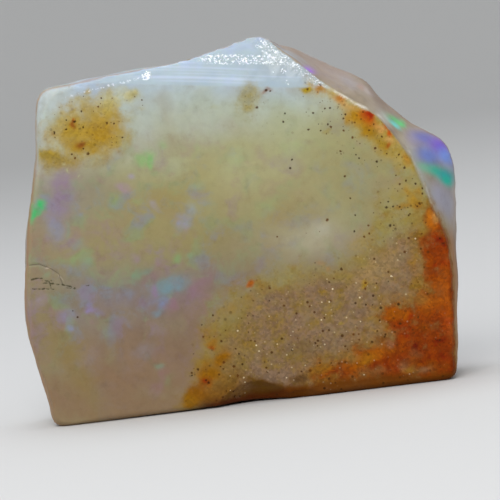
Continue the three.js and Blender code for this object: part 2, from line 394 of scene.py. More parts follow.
# %% Soft stains along the crest: across, up, half length, half width, turn in degrees, strength, colour
CREST_STAINS = [
    (12.5, 14.7, 1.0, 0.8, 0, 0.4, "#b2a262"), (11.1, 16.1, 0.7, 0.6, 0, 0.35, "#aaa26c"),
    (6.2, 22.93, 0.4, 0.26, 0, 0.95, "#b0940c"), (7.3, 22.8, 0.6, 0.24, -22, 0.9, "#b07c30"),
    (8.8, 21.7, 0.8, 0.4, -42, 0.8, "#cca664"), (8.7, 21.85, 0.38, 0.27, -42, 0.8, "#b86c1a"),
    (9.5, 21.1, 0.5, 0.26, -42, 0.6, "#caa462"), (10.7, 19.33, 0.85, 0.55, -47, 0.9, "#a47a14"),
    (11.5, 18.09, 0.63, 0.5, -57, 0.8, "#a68424"), (9.7, 20.3, 0.75, 0.5, -37, 0.95, "#b6861a"),
    (10.6, 20.3, 0.62, 0.46, -37, 0.95, "#be5e08"), (10.85, 20.48, 0.42, 0.34, -37, 1.0, "#b03000"),
    (10.75, 20.68, 0.14, 0.11, 20, 0.9, "#8e1e00"), (10.95, 20.33, 0.13, 0.11, 0, 0.9, "#8a1c00"),
    (11.4, 19.4, 0.4, 0.24, -50, 0.6, "#d8a060"), (12.0, 18.3, 0.4, 0.22, -50, 0.5, "#cca468"),
    (11.8, 19.4, 0.3, 0.16, -60, 0.8, "#b84a08"), (12.1, 18.9, 0.34, 0.15, -77, 1.0, "#c45612"),
    (11.8, 18.01, 0.15, 0.15, 0, 0.8, "#a44c12"), (12.7, 18.1, 0.34, 0.22, -60, 0.8, "#c88a4a"),
    (13.2, 16.8, 0.5, 0.42, -67, 0.8, "#b48634"), (7.5, 19.5, 0.3, 0.23, 0, 0.4, "#a4903a"),
    (12.9, 14.49, 0.3, 0.3, 0, 0.75, "#a67e2a"), (13.8, 14.2, 0.3, 0.23, -67, 0.65, "#a67e2a"),
    (12.3, 13.3, 0.68, 0.3, 0, 0.75, "#9e7626"), (13.3, 13.62, 0.8, 0.5, -80, 0.8, "#ac8428"),
    (14.5, 12.3, 0.45, 0.3, -72, 0.95, "#b87018"), (13.5, 13.1, 0.3, 0.3, 0, 0.6, "#88581c"),
    (13.8, 11.54, 0.6, 0.45, -67, 0.5, "#9e8836"), (12.7, 12.1, 0.75, 0.38, 3, 0.5, "#9a8a3e"),
    (11.9, 14.2, 0.45, 0.23, 0, 0.4, "#9e8a3e"),
]
print("stains along the crest:", len(CREST_STAINS))

# %% Soft stains on the upper face, listed in the same way
UPPER_STAINS = [
    (-12.3, 22.8, 0.8, 0.6, 0, 0.5, "#b4a05c"), (-8.0, 20.8, 0.8, 0.6, 0, 0.5, "#ac9c50"),
    (-7.2, 22.2, 0.7, 0.6, 0, 0.35, "#b0a878"), (-9.7, 19.4, 1.6, 0.6, 0, 0.5, "#9e9060"),
    (-10.6, 24.2, 0.8, 0.4, 0, 0.4, "#bcb688"), (-10.3, 22.3, 2.4, 1.7, 5, 0.5, "#b09c54"),
    (1.9, 22.8, 1.5, 1.1, 60, 0.55, "#a29658"), (2.0, 23.2, 0.8, 0.55, 53, 0.4, "#988842"),
    (1.9, 22.1, 0.45, 0.3, 0, 0.45, "#a09048"), (3.4, 23.2, 0.38, 0.19, 3, 0.7, "#a07c70"),
    (-0.6, 22.5, 0.3, 0.23, 0, 0.3, "#a8a468"), (-9.3, 21.6, 1.3, 0.95, 0, 0.85, "#b0881a"),
    (-8.5, 23.2, 0.68, 0.55, 83, 0.6, "#b09430"), (-11.4, 22.0, 1.05, 0.8, 23, 0.75, "#ae8c22"),
    (-10.4, 20.6, 1.55, 0.55, 0, 0.75, "#aa861a"), (-6.6, 24.1, 0.38, 0.38, 0, 0.8, "#b29e4a"),
    (-10.0, 24.8, 0.23, 0.23, 0, 0.6, "#b69e50"), (-12.1, 21.1, 0.6, 0.38, -27, 0.5, "#a88c44"),
    (-13.5, 20.4, 1.5, 0.5, -25, 0.85, "#ac9232"), (-13.0, 19.7, 1.5, 0.7, -10, 0.75, "#9e8438"),
    (-6.1, 22.9, 0.23, 0.19, 0, 0.35, "#b0a468"), (-11.0, 20.8, 0.3, 0.26, 30, 0.9, "#8a4a18"),
    (-11.2, 22.6, 0.15, 0.15, 0, 0.9, "#a04a10"), (-11.4, 22.3, 0.22, 0.22, 0, 0.8, "#8a3c10"),
    (-12.8, 21.9, 0.2, 0.2, 0, 0.5, "#8e6030"), (-7.7, 24.1, 1.6, 0.9, 5, 0.55, "#c6c08a"),
    (-12.1, 18.9, 0.12, 0.12, 0, 0.7, "#c6c69e"), (-11.5, 18.4, 0.12, 0.08, 40, 0.6, "#c6c69e"),
    (-12.4, 19.4, 0.09, 0.09, 0, 0.6, "#c6c69e"), (-10.8, 18.9, 0.12, 0.06, 0, 0.5, "#c6c69e"),
]
print("stains on the upper face:", len(UPPER_STAINS))

# %% Soft stains along the border of the sandstone
BORDER_STAINS = [
    (9.8, 8.9, 2.4, 1.2, 30, 0.55, "#a48854"), (8.9, 11.2, 1.2, 0.7, 30, 0.5, "#a89258"),
    (0.2, 7.7, 0.9, 0.5, 30, 0.4, "#9a7c3c"), (-1.4, 7.2, 0.7, 0.5, 30, 0.6, "#9c7e40"),
    (-4.1, 3.6, 0.6, 0.5, 0, 0.6, "#9a7a2e"), (3.2, 1.3, 0.9, 0.35, -5, 0.8, "#5e4222"),
    (3.6, 3.4, 2.4, 0.9, 0, 0.45, "#705a3a"), (-0.7, 6.5, 0.85, 0.47, 23, 0.4, "#8c7c2e"),
    (-1.9, 5.7, 0.85, 0.56, 43, 0.4, "#8c7830"), (7.2, 8.5, 0.94, 0.38, 0, 0.4, "#908232"),
    (8.9, 9.5, 0.6, 0.45, 23, 0.4, "#968636"), (10.5, 11.3, 0.75, 0.45, 43, 0.45, "#9c8a40"),
    (-3.0, 1.0, 1.8, 0.8, 12, 0.85, "#835109"), (-2.0, 2.0, 1.1, 0.62, 30, 0.75, "#704812"),
    (-3.8, 0.7, 0.6, 0.35, 0, 0.6, "#784a00"), (-0.4, 0.6, 1.4, 0.42, -6, 0.6, "#6e4410"),
    (-2.0, 3.4, 2.8, 1.6, 60, 0.45, "#8c7236"), (-3.6, 2.6, 0.95, 0.75, 20, 0.95, "#966200"),
    (-4.6, 1.3, 0.8, 0.55, 30, 0.85, "#8f5800"), (-5.3, 0.6, 0.66, 0.4, 13, 0.8, "#946504"),
    (-3.0, 4.8, 0.45, 0.4, 0, 0.7, "#9c6c18"), (-3.1, 4.5, 0.18, 0.16, 0, 0.9, "#984a08"),
    (-2.4, 3.7, 0.6, 0.55, 0, 1.0, "#986200"), (-3.9, 2.05, 0.45, 0.36, 0, 0.9, "#944900"),
    (-3.9, 2.1, 0.2, 0.16, 0, 1.0, "#8a2a00"), (0.3, 8.9, 0.38, 0.26, 28, 0.9, "#ac5c16"),
    (0.9, 7.0, 0.38, 0.26, 0, 0.6, "#9a7a1e"), (-0.7, 2.6, 0.3, 0.23, 0, 0.5, "#8a6e1e"),
    (5.7, 10.0, 0.3, 0.3, 0, 0.5, "#ae8256"), (6.3, 9.5, 0.23, 0.23, 0, 0.5, "#ac7e40"),
    (9.0, 7.8, 0.23, 0.15, 0, 0.8, "#9e7a16"), (12.7, 9.1, 0.23, 0.23, 0, 0.6, "#9e7226"),
    (9.1, 5.1, 0.53, 0.3, 0, 0.6, "#9c7826"), (9.3, 4.2, 0.38, 0.19, 0, 0.5, "#ae8a3e"),
    (6.7, 5.0, 0.23, 0.15, 0, 0.6, "#9e881e"), (5.6, 0.9, 1.12, 0.38, -2, 0.6, "#8a5812"),
]
print("stains along the border:", len(BORDER_STAINS))

# %% Soft stains in the rust, two of them lighter on the rounded right edge as painted light
RUST_STAINS = [
    (4.5, 1.7, 0.69, 0.39, 3, 0.65, "#906820"), (5.4, 1.9, 0.49, 0.39, 0, 0.6, "#986a18"),
    (7.2, 1.8, 0.8, 0.45, 8, 0.55, "#a45c04"), (7.1, 2.5, 0.6, 0.35, 0, 0.7, "#947034"),
    (8.4, 2.2, 0.78, 0.49, 23, 0.7, "#a87212"), (9.3, 2.8, 0.88, 0.59, 13, 0.53, "#ac5e06"),
    (10.5, 2.7, 0.98, 0.59, 0, 0.37, "#985408"), (11.2, 5.3, 1.27, 0.49, 1, 0.35, "#ae6206"),
    (13.7, 5.4, 1.17, 0.49, 0, 0.2, "#a65a06"), (13.1, 5.4, 0.5, 0.4, 0, 0.45, "#823a00"),
    # The long thin strips at 14.9, 3.6 and 15.0, 6.0 lie on the rounded right edge: rust colour, painted
    # lighter there to stand for the light on the turned edge.
    (12.5, 2.5, 0.6, 0.5, 0, 0.5, "#702a00"), (14.9, 3.6, 1.2, 0.2, -87, 0.6, "#b85c20"),
    (15.0, 6.0, 1.3, 0.25, -87, 0.5, "#a85408"), (11.3, 4.1, 0.78, 0.59, 13, 0.55, "#8e2e00"),
    (13.0, 4.1, 0.75, 0.53, 0, 0.4, "#8e4e06"), (14.5, 3.7, 0.88, 0.39, -87, 0.5, "#9a3c04"),
    (14.5, 2.1, 0.78, 0.39, 83, 0.43, "#a63e04"), (13.0, 0.9, 1.3, 0.38, 0, 0.6, "#7c4404"),
    (11.8, 1.5, 1.1, 0.5, 0, 0.55, "#904c00"), (8.4, 1.1, 1.1, 0.4, 0, 0.5, "#86520a"),
    (12.9, 6.2, 0.65, 0.42, 0, 0.7, "#946628"), (10.9, 5.3, 0.7, 0.45, 0, 0.5, "#a05400"),
    (14.5, 7.2, 0.7, 0.6, 0, 0.6, "#a8560a"), (13.8, 8.9, 0.78, 0.42, 83, 0.5, "#a04a00"),
    (14.0, 6.0, 0.8, 0.5, 0, 0.5, "#b8640c"), (14.6, 5.2, 0.6, 0.5, 0, 0.5, "#b04e04"),
    (13.3, 3.5, 0.6, 0.4, 0, 0.4, "#8c3800"), (14.5, 10.5, 0.5, 0.6, 0, 0.5, "#a23600"),
    (14.6, 11.7, 0.5, 0.4, -77, 0.7, "#b46008"), (14.9, 12.2, 0.42, 0.26, -72, 0.9, "#c89450"),
    (14.4, 12.0, 0.5, 0.39, -77, 0.6, "#b66408"), (15.4, 8.7, 1.08, 0.3, -87, 0.56, "#b44806"),
    (14.8, 8.8, 0.98, 0.49, -82, 0.43, "#983a02"), (14.8, 6.6, 0.59, 0.49, 0, 0.43, "#b05a14"),
    (14.9, 4.3, 0.23, 0.23, 0, 0.6, "#b04010"), (14.9, 10.5, 0.23, 0.19, 0, 1.0, "#7c1c00"),
    (15.1, 10.1, 0.28, 0.18, -52, 1.0, "#7a1c00"), (14.2, 8.6, 0.19, 0.15, 0, 0.8, "#8c2a00"),
    (14.9, 8.7, 0.19, 0.15, 0, 0.6, "#8a2800"), (13.9, 3.0, 0.45, 0.21, 3, 1.0, "#6a1800"),
    (12.0, 5.1, 0.3, 0.23, 38, 0.9, "#903000"), (12.1, 2.7, 0.23, 0.23, 0, 1.0, "#6c1800"),
    (11.5, 3.5, 0.19, 0.19, 0, 0.8, "#8c2c04"), (13.6, 2.6, 0.19, 0.15, 0, 0.8, "#7c1c00"),
    (13.0, 1.8, 0.19, 0.15, 0, 0.7, "#7a2000"), (14.1, 1.7, 0.19, 0.23, 0, 0.8, "#7a1c00"),
    (11.9, 4.0, 0.15, 0.15, 0, 0.7, "#7c2a00"), (14.3, 2.3, 0.75, 0.6, 0, 0.65, "#722a00"),
    (15.0, 8.0, 0.5, 0.45, 0, 0.7, "#a04e08"), (9.5, 3.5, 0.45, 0.35, 0, 0.5, "#74481a"),
]
print("stains in the rust:", len(RUST_STAINS))

# %% Pale stains, where the sandstone in the rust was left clean
PALE_STAINS = [
    (11.0, 1.4, 0.61, 0.44, 13, 0.4, "#8a6e4e"), (11.5, 0.9, 0.6, 0.3, 0, 0.75, "#966c24"),
    (12.5, 0.9, 0.52, 0.26, 0, 0.4, "#967656"), (12.0, 2.2, 0.44, 0.3, 0, 0.3, "#82603a"),
    (9.1, 1.2, 0.69, 0.34, -2, 0.35, "#886842"), (10.3, 3.2, 0.34, 0.26, 0, 0.35, "#8e7258"),
    (8.0, 1.3, 0.44, 0.26, 0, 0.25, "#8c6a40"), (10.2, 3.9, 0.26, 0.26, 0, 0.25, "#8a6c4a"),
]
print("pale stains:", len(PALE_STAINS))


# %% How soft patches are laid
def layers(listed, points, firmness=1.3):
    """Lays soft coloured patches over each other and returns their colour and how much they cover.

    A firmer patch is evener inside and ends sooner.
    """
    paint = np.zeros((len(points), 3))
    cover = np.zeros(len(points))
    for x, z, long, short, turn, strength, code in listed:
        angle = math.radians(turn)
        off = points - (x, z)
        along = (off[:, 0] * math.cos(angle) + off[:, 1] * math.sin(angle)) / long
        across = (off[:, 1] * math.cos(angle) - off[:, 0] * math.sin(angle)) / short
        share = strength * np.exp(-0.8 * (along**2 + across**2) ** firmness)
        paint = paint * (1 - share)[:, None] + share[:, None] * np.array(linear(code)[:3])
        cover = cover * (1 - share) + share
    return paint / np.maximum(cover, 1e-6)[:, None], cover


def store_layers(name, listed, points, mask, firmness=1.3):
    """Keeps the colour of some soft patches for each vertex, and how much they cover where the mask is 1."""
    paint, cover = layers(listed, points, firmness)
    store(name + "_colour", np.column_stack((paint, np.ones(len(paint)))), "FLOAT_COLOR")
    store(name + "_cover", cover * mask)


STAINS = CREST_STAINS + UPPER_STAINS + BORDER_STAINS + RUST_STAINS + PALE_STAINS
print("stains in all:", len(STAINS))

# %% Distances inside the zones
# The crust is thin: it ends under half a millimetre into the stone, sooner beside the bevel, and deeper only
# along the sawn base, short of its right end.
CRUST_DEPTH = 0.4
DEEPER_AT_BASE = 1.1
BACK_HALF = 8

lumpy = lumps(1.0, 3)
crust_limit = CRUST_DEPTH + DEEPER_AT_BASE * soft_step(3.5, 0.5, z_mm) * soft_step(15.0, 13.8, x_mm)
right_part = soft_step(2.0, 4.5, x_mm)
beside_bevel = right_part * soft_step(11.0, 13.0, z_mm)
crust = np.where(depth < BACK_HALF, crust_limit - depth * (1 + 1.5 * beside_bevel), -1)
in_crust = crust > -0.1


def zone(*outlines):
    """How far inside the nearest of some outlines, and inside the crust, each vertex lies."""
    return np.minimum(np.max([inside(shifted, outline) for outline in outlines], axis=0), crust)


sand_mm = zone(SANDSTONE)
border_mm = zone(OCHRE_BORDER)
ochre_mm = zone(OCHRE_EDGE, OCHRE_PATCH)
rust_mm = zone(RUST_CORNER)
store_layers("stain", STAINS, shifted, soft_step(-0.1, 0.1, crust))
print("share of the vertices in sandstone:", round(float((sand_mm > 0).mean()), 3))

# %% The chip in the foot of the face, darkened partly by painted shade, and a band of painted shade along the foot, where the bottom edge rounds away
CHIP = [
    (-1.7, 1.2), (-1.1, 1.7), (-0.5, 1.95), (0.4, 1.7), (1.2, 1.3), (2.2, 1.0), (3.6, 0.8), (3.6, -2),
    (-2.2, -2),
]
near_front = soft_step(1.9, 1.2, depth)
# The chip's hollow is painted darker, partly its own olive brown and partly painted shade.
in_chip = soft_step(-0.12, 0.12, inside(shifted, CHIP)) * near_front
chip_shade = in_chip * soft_step(-2.0, 0.2, x_mm)
# Along the foot a band is painted dark as shade, where the bottom edge rounds away.
foot_rise = 0.35 * soft_step(0.5, 2.5, x_mm) - 0.40 * soft_step(10.5, 12.3, x_mm)
foot = soft_step(1.05, 0.15, z_mm + 0.15 * lumpy - foot_rise) * soft_step(-5.5, -3.5, x_mm)
store("chip_shade_cover", chip_shade)
store("foot_shade_cover", foot * near_front)
print("vertices in the chip:", int((in_chip > 0.5).sum()))

# %% [markdown]
# ## Play of colour
# Precious opal is packed silica spheres, and where they lie in order they throw back one pure colour. Each
# such patch is a flash. On the real stone the flashes move with the light. A film or a grating shader could
# do that, but it would be lost on export, so the flashes are laid into the stone as soft coloured patches,
# drawn one by one in the same way as the stains.

# %% Flashes on the front, and two painted highlights on the crack
FLASHES = [
    (-12.8, 17.4, 1.4, 0.8, 80, 0.75, "#917a98"), (-13.6, 15.9, 0.9, 0.6, 80, 0.5, "#93849c"),
    (-13.6, 14.7, 1.1, 0.6, 95, 0.6, "#8a8fa6"), (-12.7, 14.6, 0.5, 0.12, 85, 0.5, "#7f9f90"),
    (-12.1, 13.4, 0.4, 0.3, 0, 0.5, "#7ea08c"), (-14.6, 16.6, 0.5, 0.36, 40, 1.0, "#44bc70"),
    (-15.0, 16.0, 0.52, 0.24, 62, 1.0, "#42b46c"), (-6.4, 19.2, 0.75, 0.5, 20, 0.65, "#84b46c"),
    (-5.9, 18.9, 0.45, 0.25, 70, 0.7, "#7cbc6c"), (-5.0, 20.1, 0.35, 0.3, 0, 0.4, "#90b87c"),
    (-7.5, 18.0, 0.25, 0.2, 0, 0.6, "#a294b0"), (-8.1, 17.2, 0.55, 0.28, -20, 0.6, "#a88aa6"),
    (-8.8, 16.3, 0.55, 0.5, 45, 0.55, "#88a468"), (-7.2, 16.1, 0.35, 0.22, 0, 0.35, "#8ca874"),
    (-6.2, 15.7, 0.4, 0.35, -40, 0.5, "#a09ab2"), (-4.1, 14.0, 0.6, 0.5, 40, 0.5, "#9896be"),
    (-3.4, 15.0, 0.6, 0.35, 50, 0.5, "#94a0ac"), (-2.6, 16.8, 0.5, 0.3, 0, 0.3, "#8fb0a0"),
    (-12.4, 12.5, 0.5, 0.35, 40, 0.5, "#88a46c"), (-11.4, 12.2, 0.4, 0.3, 0, 0.5, "#86a084"),
    (-14.8, 11.4, 0.3, 0.2, 0, 0.4, "#84a480"), (-8.5, 13.3, 0.3, 0.25, 0, 0.4, "#88a070"),
    (-9.1, 13.7, 0.6, 0.4, 30, 0.35, "#9c8480"), (-7.9, 11.9, 0.3, 0.3, 0, 0.5, "#a08498"),
    (-4.9, 11.6, 0.4, 0.26, 30, 0.45, "#78b070"), (-3.8, 11.5, 0.3, 0.25, 0, 0.4, "#84a884"),
    (-6.4, 11.3, 0.4, 0.25, 60, 0.4, "#9a7e90"), (-7.9, 10.7, 0.5, 0.35, 60, 0.6, "#749e80"),
    (-7.3, 10.8, 0.4, 0.22, 10, 0.5, "#789c90"), (-6.9, 10.2, 0.7, 0.45, 20, 0.5, "#8f6e7e"),
    (-5.5, 9.5, 1.2, 0.55, 12, 0.85, "#76949e"), (-6.8, 9.3, 0.22, 0.4, 0, 0.5, "#9c6c9e"),
    (-3.9, 8.9, 0.9, 0.35, 30, 0.45, "#926c7c"), (-2.8, 9.8, 0.7, 0.4, 60, 0.3, "#946f84"),
    (-6.3, 8.3, 0.35, 0.4, 20, 0.75, "#7c8cb2"), (-5.6, 8.0, 0.5, 0.4, 40, 0.4, "#a2688e"),
    (-6.8, 7.6, 0.5, 0.28, 10, 0.6, "#74909e"), (-7.8, 8.5, 0.3, 0.3, 0, 0.4, "#8c6c80"),
    (-8.8, 9.3, 0.4, 0.3, 0, 0.5, "#808c9a"), (-9.6, 8.9, 1.3, 0.6, 10, 0.3, "#8a849a"),
    (-11.8, 8.5, 0.4, 0.22, -10, 0.8, "#9282b8"), (-11.2, 8.1, 0.4, 0.25, -20, 0.4, "#8c84a4"),
    (-15.4, 9.7, 0.45, 0.45, 0, 0.55, "#9c8c9a"), (-13.6, 8.2, 0.6, 0.5, 40, 0.45, "#888cb4"),
    (-13.4, 7.3, 0.34, 0.26, 0, 0.55, "#8898cc"), (-10.8, 6.4, 0.5, 0.4, 0, 0.3, "#8b9aa2"),
    (-8.2, 4.8, 0.8, 0.5, 30, 0.3, "#8c90a4"), (-7.2, 3.5, 0.3, 0.25, 0, 0.4, "#74a890"),
    (-6.9, 2.9, 0.5, 0.4, 90, 0.35, "#9a6e7c"), (-7.6, 1.9, 0.6, 0.4, 60, 0.3, "#9a6f82"),
    (-6.6, 2.4, 0.5, 0.25, 60, 0.3, "#7f9a6c"), (-12.3, 4.9, 1.0, 0.7, 20, 0.25, "#9c8f98"),
    # The two thin pale marks at -14.5, 11.9 and -13.7, 11.1 are painted highlights on the edge of the crack.
    (-2.0, 16.0, 2.2, 0.9, 60, 0.1, "#9fb58c"), (-14.5, 11.9, 0.2, 0.06, -20, 0.9, "#c4b6a2"),
    (-13.7, 11.1, 0.2, 0.05, -50, 0.9, "#c0b29e"), (0.6, 18.4, 0.9, 0.6, 45, 0.3, "#a4bf90"),
    (4.9, 18.6, 0.9, 0.6, 20, 0.3, "#a0b87c"), (2.2, 14.4, 1.0, 0.6, 20, 0.25, "#98b47e"),
    (9.5, 15.5, 1.2, 0.8, -40, 0.3, "#98a488"),
]
print("flashes on the face:", len(FLASHES))

# %% Broad clouds of milkier or pinker opal, which don't break up
CLOUDS = [
    (1.4, 17.4, 2.6, 1.8, 0, 0.5, "#b2b087"), (-2.3, 17.9, 1.8, 1.2, 0, 0.4, "#aea67e"),
    (7.4, 13.9, 2.6, 1.3, -35, 0.45, "#a8a47c"), (-10.7, 17.4, 1.8, 1.1, 10, 0.65, "#8c7f6a"),
    (-1.7, 16.1, 1.2, 0.9, 0, 0.55, "#9c8e62"), (-0.3, 22.0, 2.0, 1.0, 0, 0.4, "#b0b490"),
    (-11.5, 18.7, 1.6, 0.7, 0, 0.5, "#968c6c"), (0.8, 17.0, 3.2, 2.0, 0, 0.35, "#b0ae84"),
    (4.8, 11.6, 3.0, 1.3, -8, 0.7, "#b0aa90"), (6.2, 12.4, 0.9, 0.6, 0, 0.5, "#bab6a4"),
    (1.5, 14.5, 2.5, 1.4, 20, 0.25, "#a39a70"), (5.5, 20.3, 3.0, 2.0, -30, 0.35, "#b0b480"),
    (-13.4, 16.5, 1.7, 2.0, 0, 0.6, "#87798a"), (-12.0, 13.6, 1.4, 1.0, 0, 0.4, "#978a64"),
    (-10.5, 16.6, 2.2, 1.6, 20, 0.35, "#938d7a"), (-12.6, 24.6, 2.2, 1.0, 12, 0.6, "#bec4be"),
    (-14.9, 22.6, 0.9, 1.8, 0, 0.6, "#b2b6b4"), (-9.0, 9.5, 4.0, 1.4, 5, 0.35, "#857c74"),
    (-4.5, 4.5, 3.0, 2.5, 60, 0.3, "#86705e"), (-10.0, 2.6, 3.5, 2.2, 0, 0.45, "#8a6d58"),
    (-14.6, 8.5, 0.9, 2.4, 10, 0.5, "#8d7f5c"), (-13.2, 4.0, 0.9, 3.0, 20, 0.65, "#8e7b49"),
    (-14.0, 9.5, 1.0, 0.6, 0, 0.7, "#7e764e"), (-3.0, 12.5, 2.5, 1.2, 10, 0.45, "#928556"),
    (-5.0, 16.2, 1.5, 1.1, 0, 0.5, "#9a8850"), (1.9, 11.1, 1.4, 0.9, 0, 0.45, "#98895e"),
    (2.8, 13.8, 1.3, 0.9, 0, 0.45, "#9e8858"), (-4.3, 18.3, 1.3, 0.9, 0, 0.55, "#aab092"),
    (-6.5, 14.9, 0.7, 0.5, 0, 0.5, "#9c9560"), (-11.4, 10.2, 2.6, 1.2, -10, 0.45, "#847c80"),
    (-7.0, 8.0, 3.2, 1.4, 12, 0.4, "#857476"), (-15.3, 13.4, 0.7, 2.2, 0, 0.6, "#92786c"),
    (-15.2, 7.0, 0.6, 2.2, 15, 0.6, "#92825a"), (-5.4, 9.4, 1.8, 1.0, 15, 0.35, "#7a868a"),
    (-2.8, 9.6, 1.5, 0.8, 40, 0.4, "#8a7074"), (-12.8, 7.8, 1.6, 0.8, -40, 0.4, "#858280"),
    (-13.6, 5.8, 1.4, 1.2, -60, 0.4, "#8e8050"), (9.0, 17.5, 3.0, 2.0, -30, 0.4, "#a09c6e"),
    (-1.5, 21.5, 2.2, 1.6, 0, 0.3, "#b2b8ac"), (-2.6, 17.4, 1.8, 1.2, 30, 0.3, "#9e9050"),
]
print("clouds:", len(CLOUDS))

# %% Flashes on the bevel, which is clean opal, so they are fewer and far brighter, and one painted highlight
BEVEL_FLASHES = [
    (8.2, 24.2, 1.6, 0.6, -36, 0.5, "#b4a49e"), (11.3, 21.2, 0.7, 0.3, -45, 0.75, "#aea08c"),
    (11.9, 20.2, 0.55, 0.3, -55, 1.0, "#ccd4ca"), (13.1, 18.4, 0.6, 0.3, -60, 0.85, "#b6a88e"),
    (13.7, 17.2, 0.8, 0.35, -65, 0.85, "#a6a494"), (14.1, 15.5, 1.0, 0.35, -70, 0.85, "#a2a298"),
    (14.6, 14.0, 0.9, 0.35, -70, 0.8, "#9c9c8c"), (5.2, 26.0, 0.7, 0.22, -30, 0.5, "#b8a898"),
    (6.8, 25.2, 2.6, 0.8, -36, 0.4, "#b0a090"), (6.75, 24.45, 0.44, 0.15, -38, 1.0, "#a468f0"),
    (9.6, 23.1, 0.9, 0.4, -38, 0.6, "#a6a0a4"), (10.5, 22.6, 0.3, 0.18, -40, 0.7, "#b49080"),
    # The pale streak at 11.0, 22.2 along the rim is a painted highlight, not a flash.
    (11.0, 22.2, 0.5, 0.18, -48, 0.8, "#c0b4ae"), (13.8, 18.4, 0.55, 0.5, -60, 0.7, "#a29aaa"),
    (12.7, 19.8, 0.65, 0.22, -40, 1.0, "#50d07c"), (13.2, 19.5, 0.3, 0.2, -40, 0.9, "#5cda7c"),
    (12.6, 19.55, 0.48, 0.12, -48, 1.0, "#60f6ea"), (14.9, 16.9, 1.0, 0.7, -37, 0.95, "#6c80c4"),
    (14.8, 18.2, 0.9, 0.4, -27, 0.95, "#6c70b2"), (15.9, 17.4, 0.8, 0.5, -37, 1.0, "#7854c8"),
    (16.3, 16.5, 0.8, 0.48, -50, 1.0, "#7c9aea"), (16.5, 15.6, 0.75, 0.2, -42, 0.6, "#a2a6c0"),
    (14.4, 16.1, 0.6, 0.3, -32, 0.8, "#80b898"), (15.4, 15.6, 0.8, 0.36, -35, 1.0, "#3cb496"),
    (16.2, 15.0, 0.8, 0.5, -42, 1.0, "#00a0a8"), (15.3, 13.9, 1.0, 0.6, -67, 0.9, "#9c9cac"),
    (15.9, 12.9, 0.8, 1.3, 0, 0.9, "#9e9caa"), (16.1, 14.8, 0.5, 0.3, -42, 1.0, "#08b49c"),
    (13.9, 15.9, 0.35, 0.2, -70, 0.7, "#a8a8a6"), (15.3, 11.7, 0.8, 0.5, -75, 0.8, "#a09478"),
]

bevel_foot = soft_step(9.8, 12.2, z_mm)
bevel = soft_step(0.04, 0.34, depth) * soft_step(-0.12, -0.3, facing_back) * right_part * bevel_foot
on_face = soft_step(2.2, 1.2, depth)
store("bevel", bevel)
store_layers("flash", FLASHES, shifted, on_face * (1 - bevel))
store_layers("cloud", CLOUDS, drawn, on_face, firmness=1.0)
store_layers("bevel", BEVEL_FLASHES, flat, 1, firmness=1.2)
print("flashes on the bevel:", len(BEVEL_FLASHES))

# %% [markdown]
# ## Specks
# Grains of dark ironstone, 0.15 to 0.35 mm across, sit in the top layer of the face. A texture could
# scatter them, but the larger ones are landmarks, so each is placed. Every vertex keeps the arrow to itself
# from the nearest grain, in radii of that grain, and the material draws a round grain where the arrow is
# short.

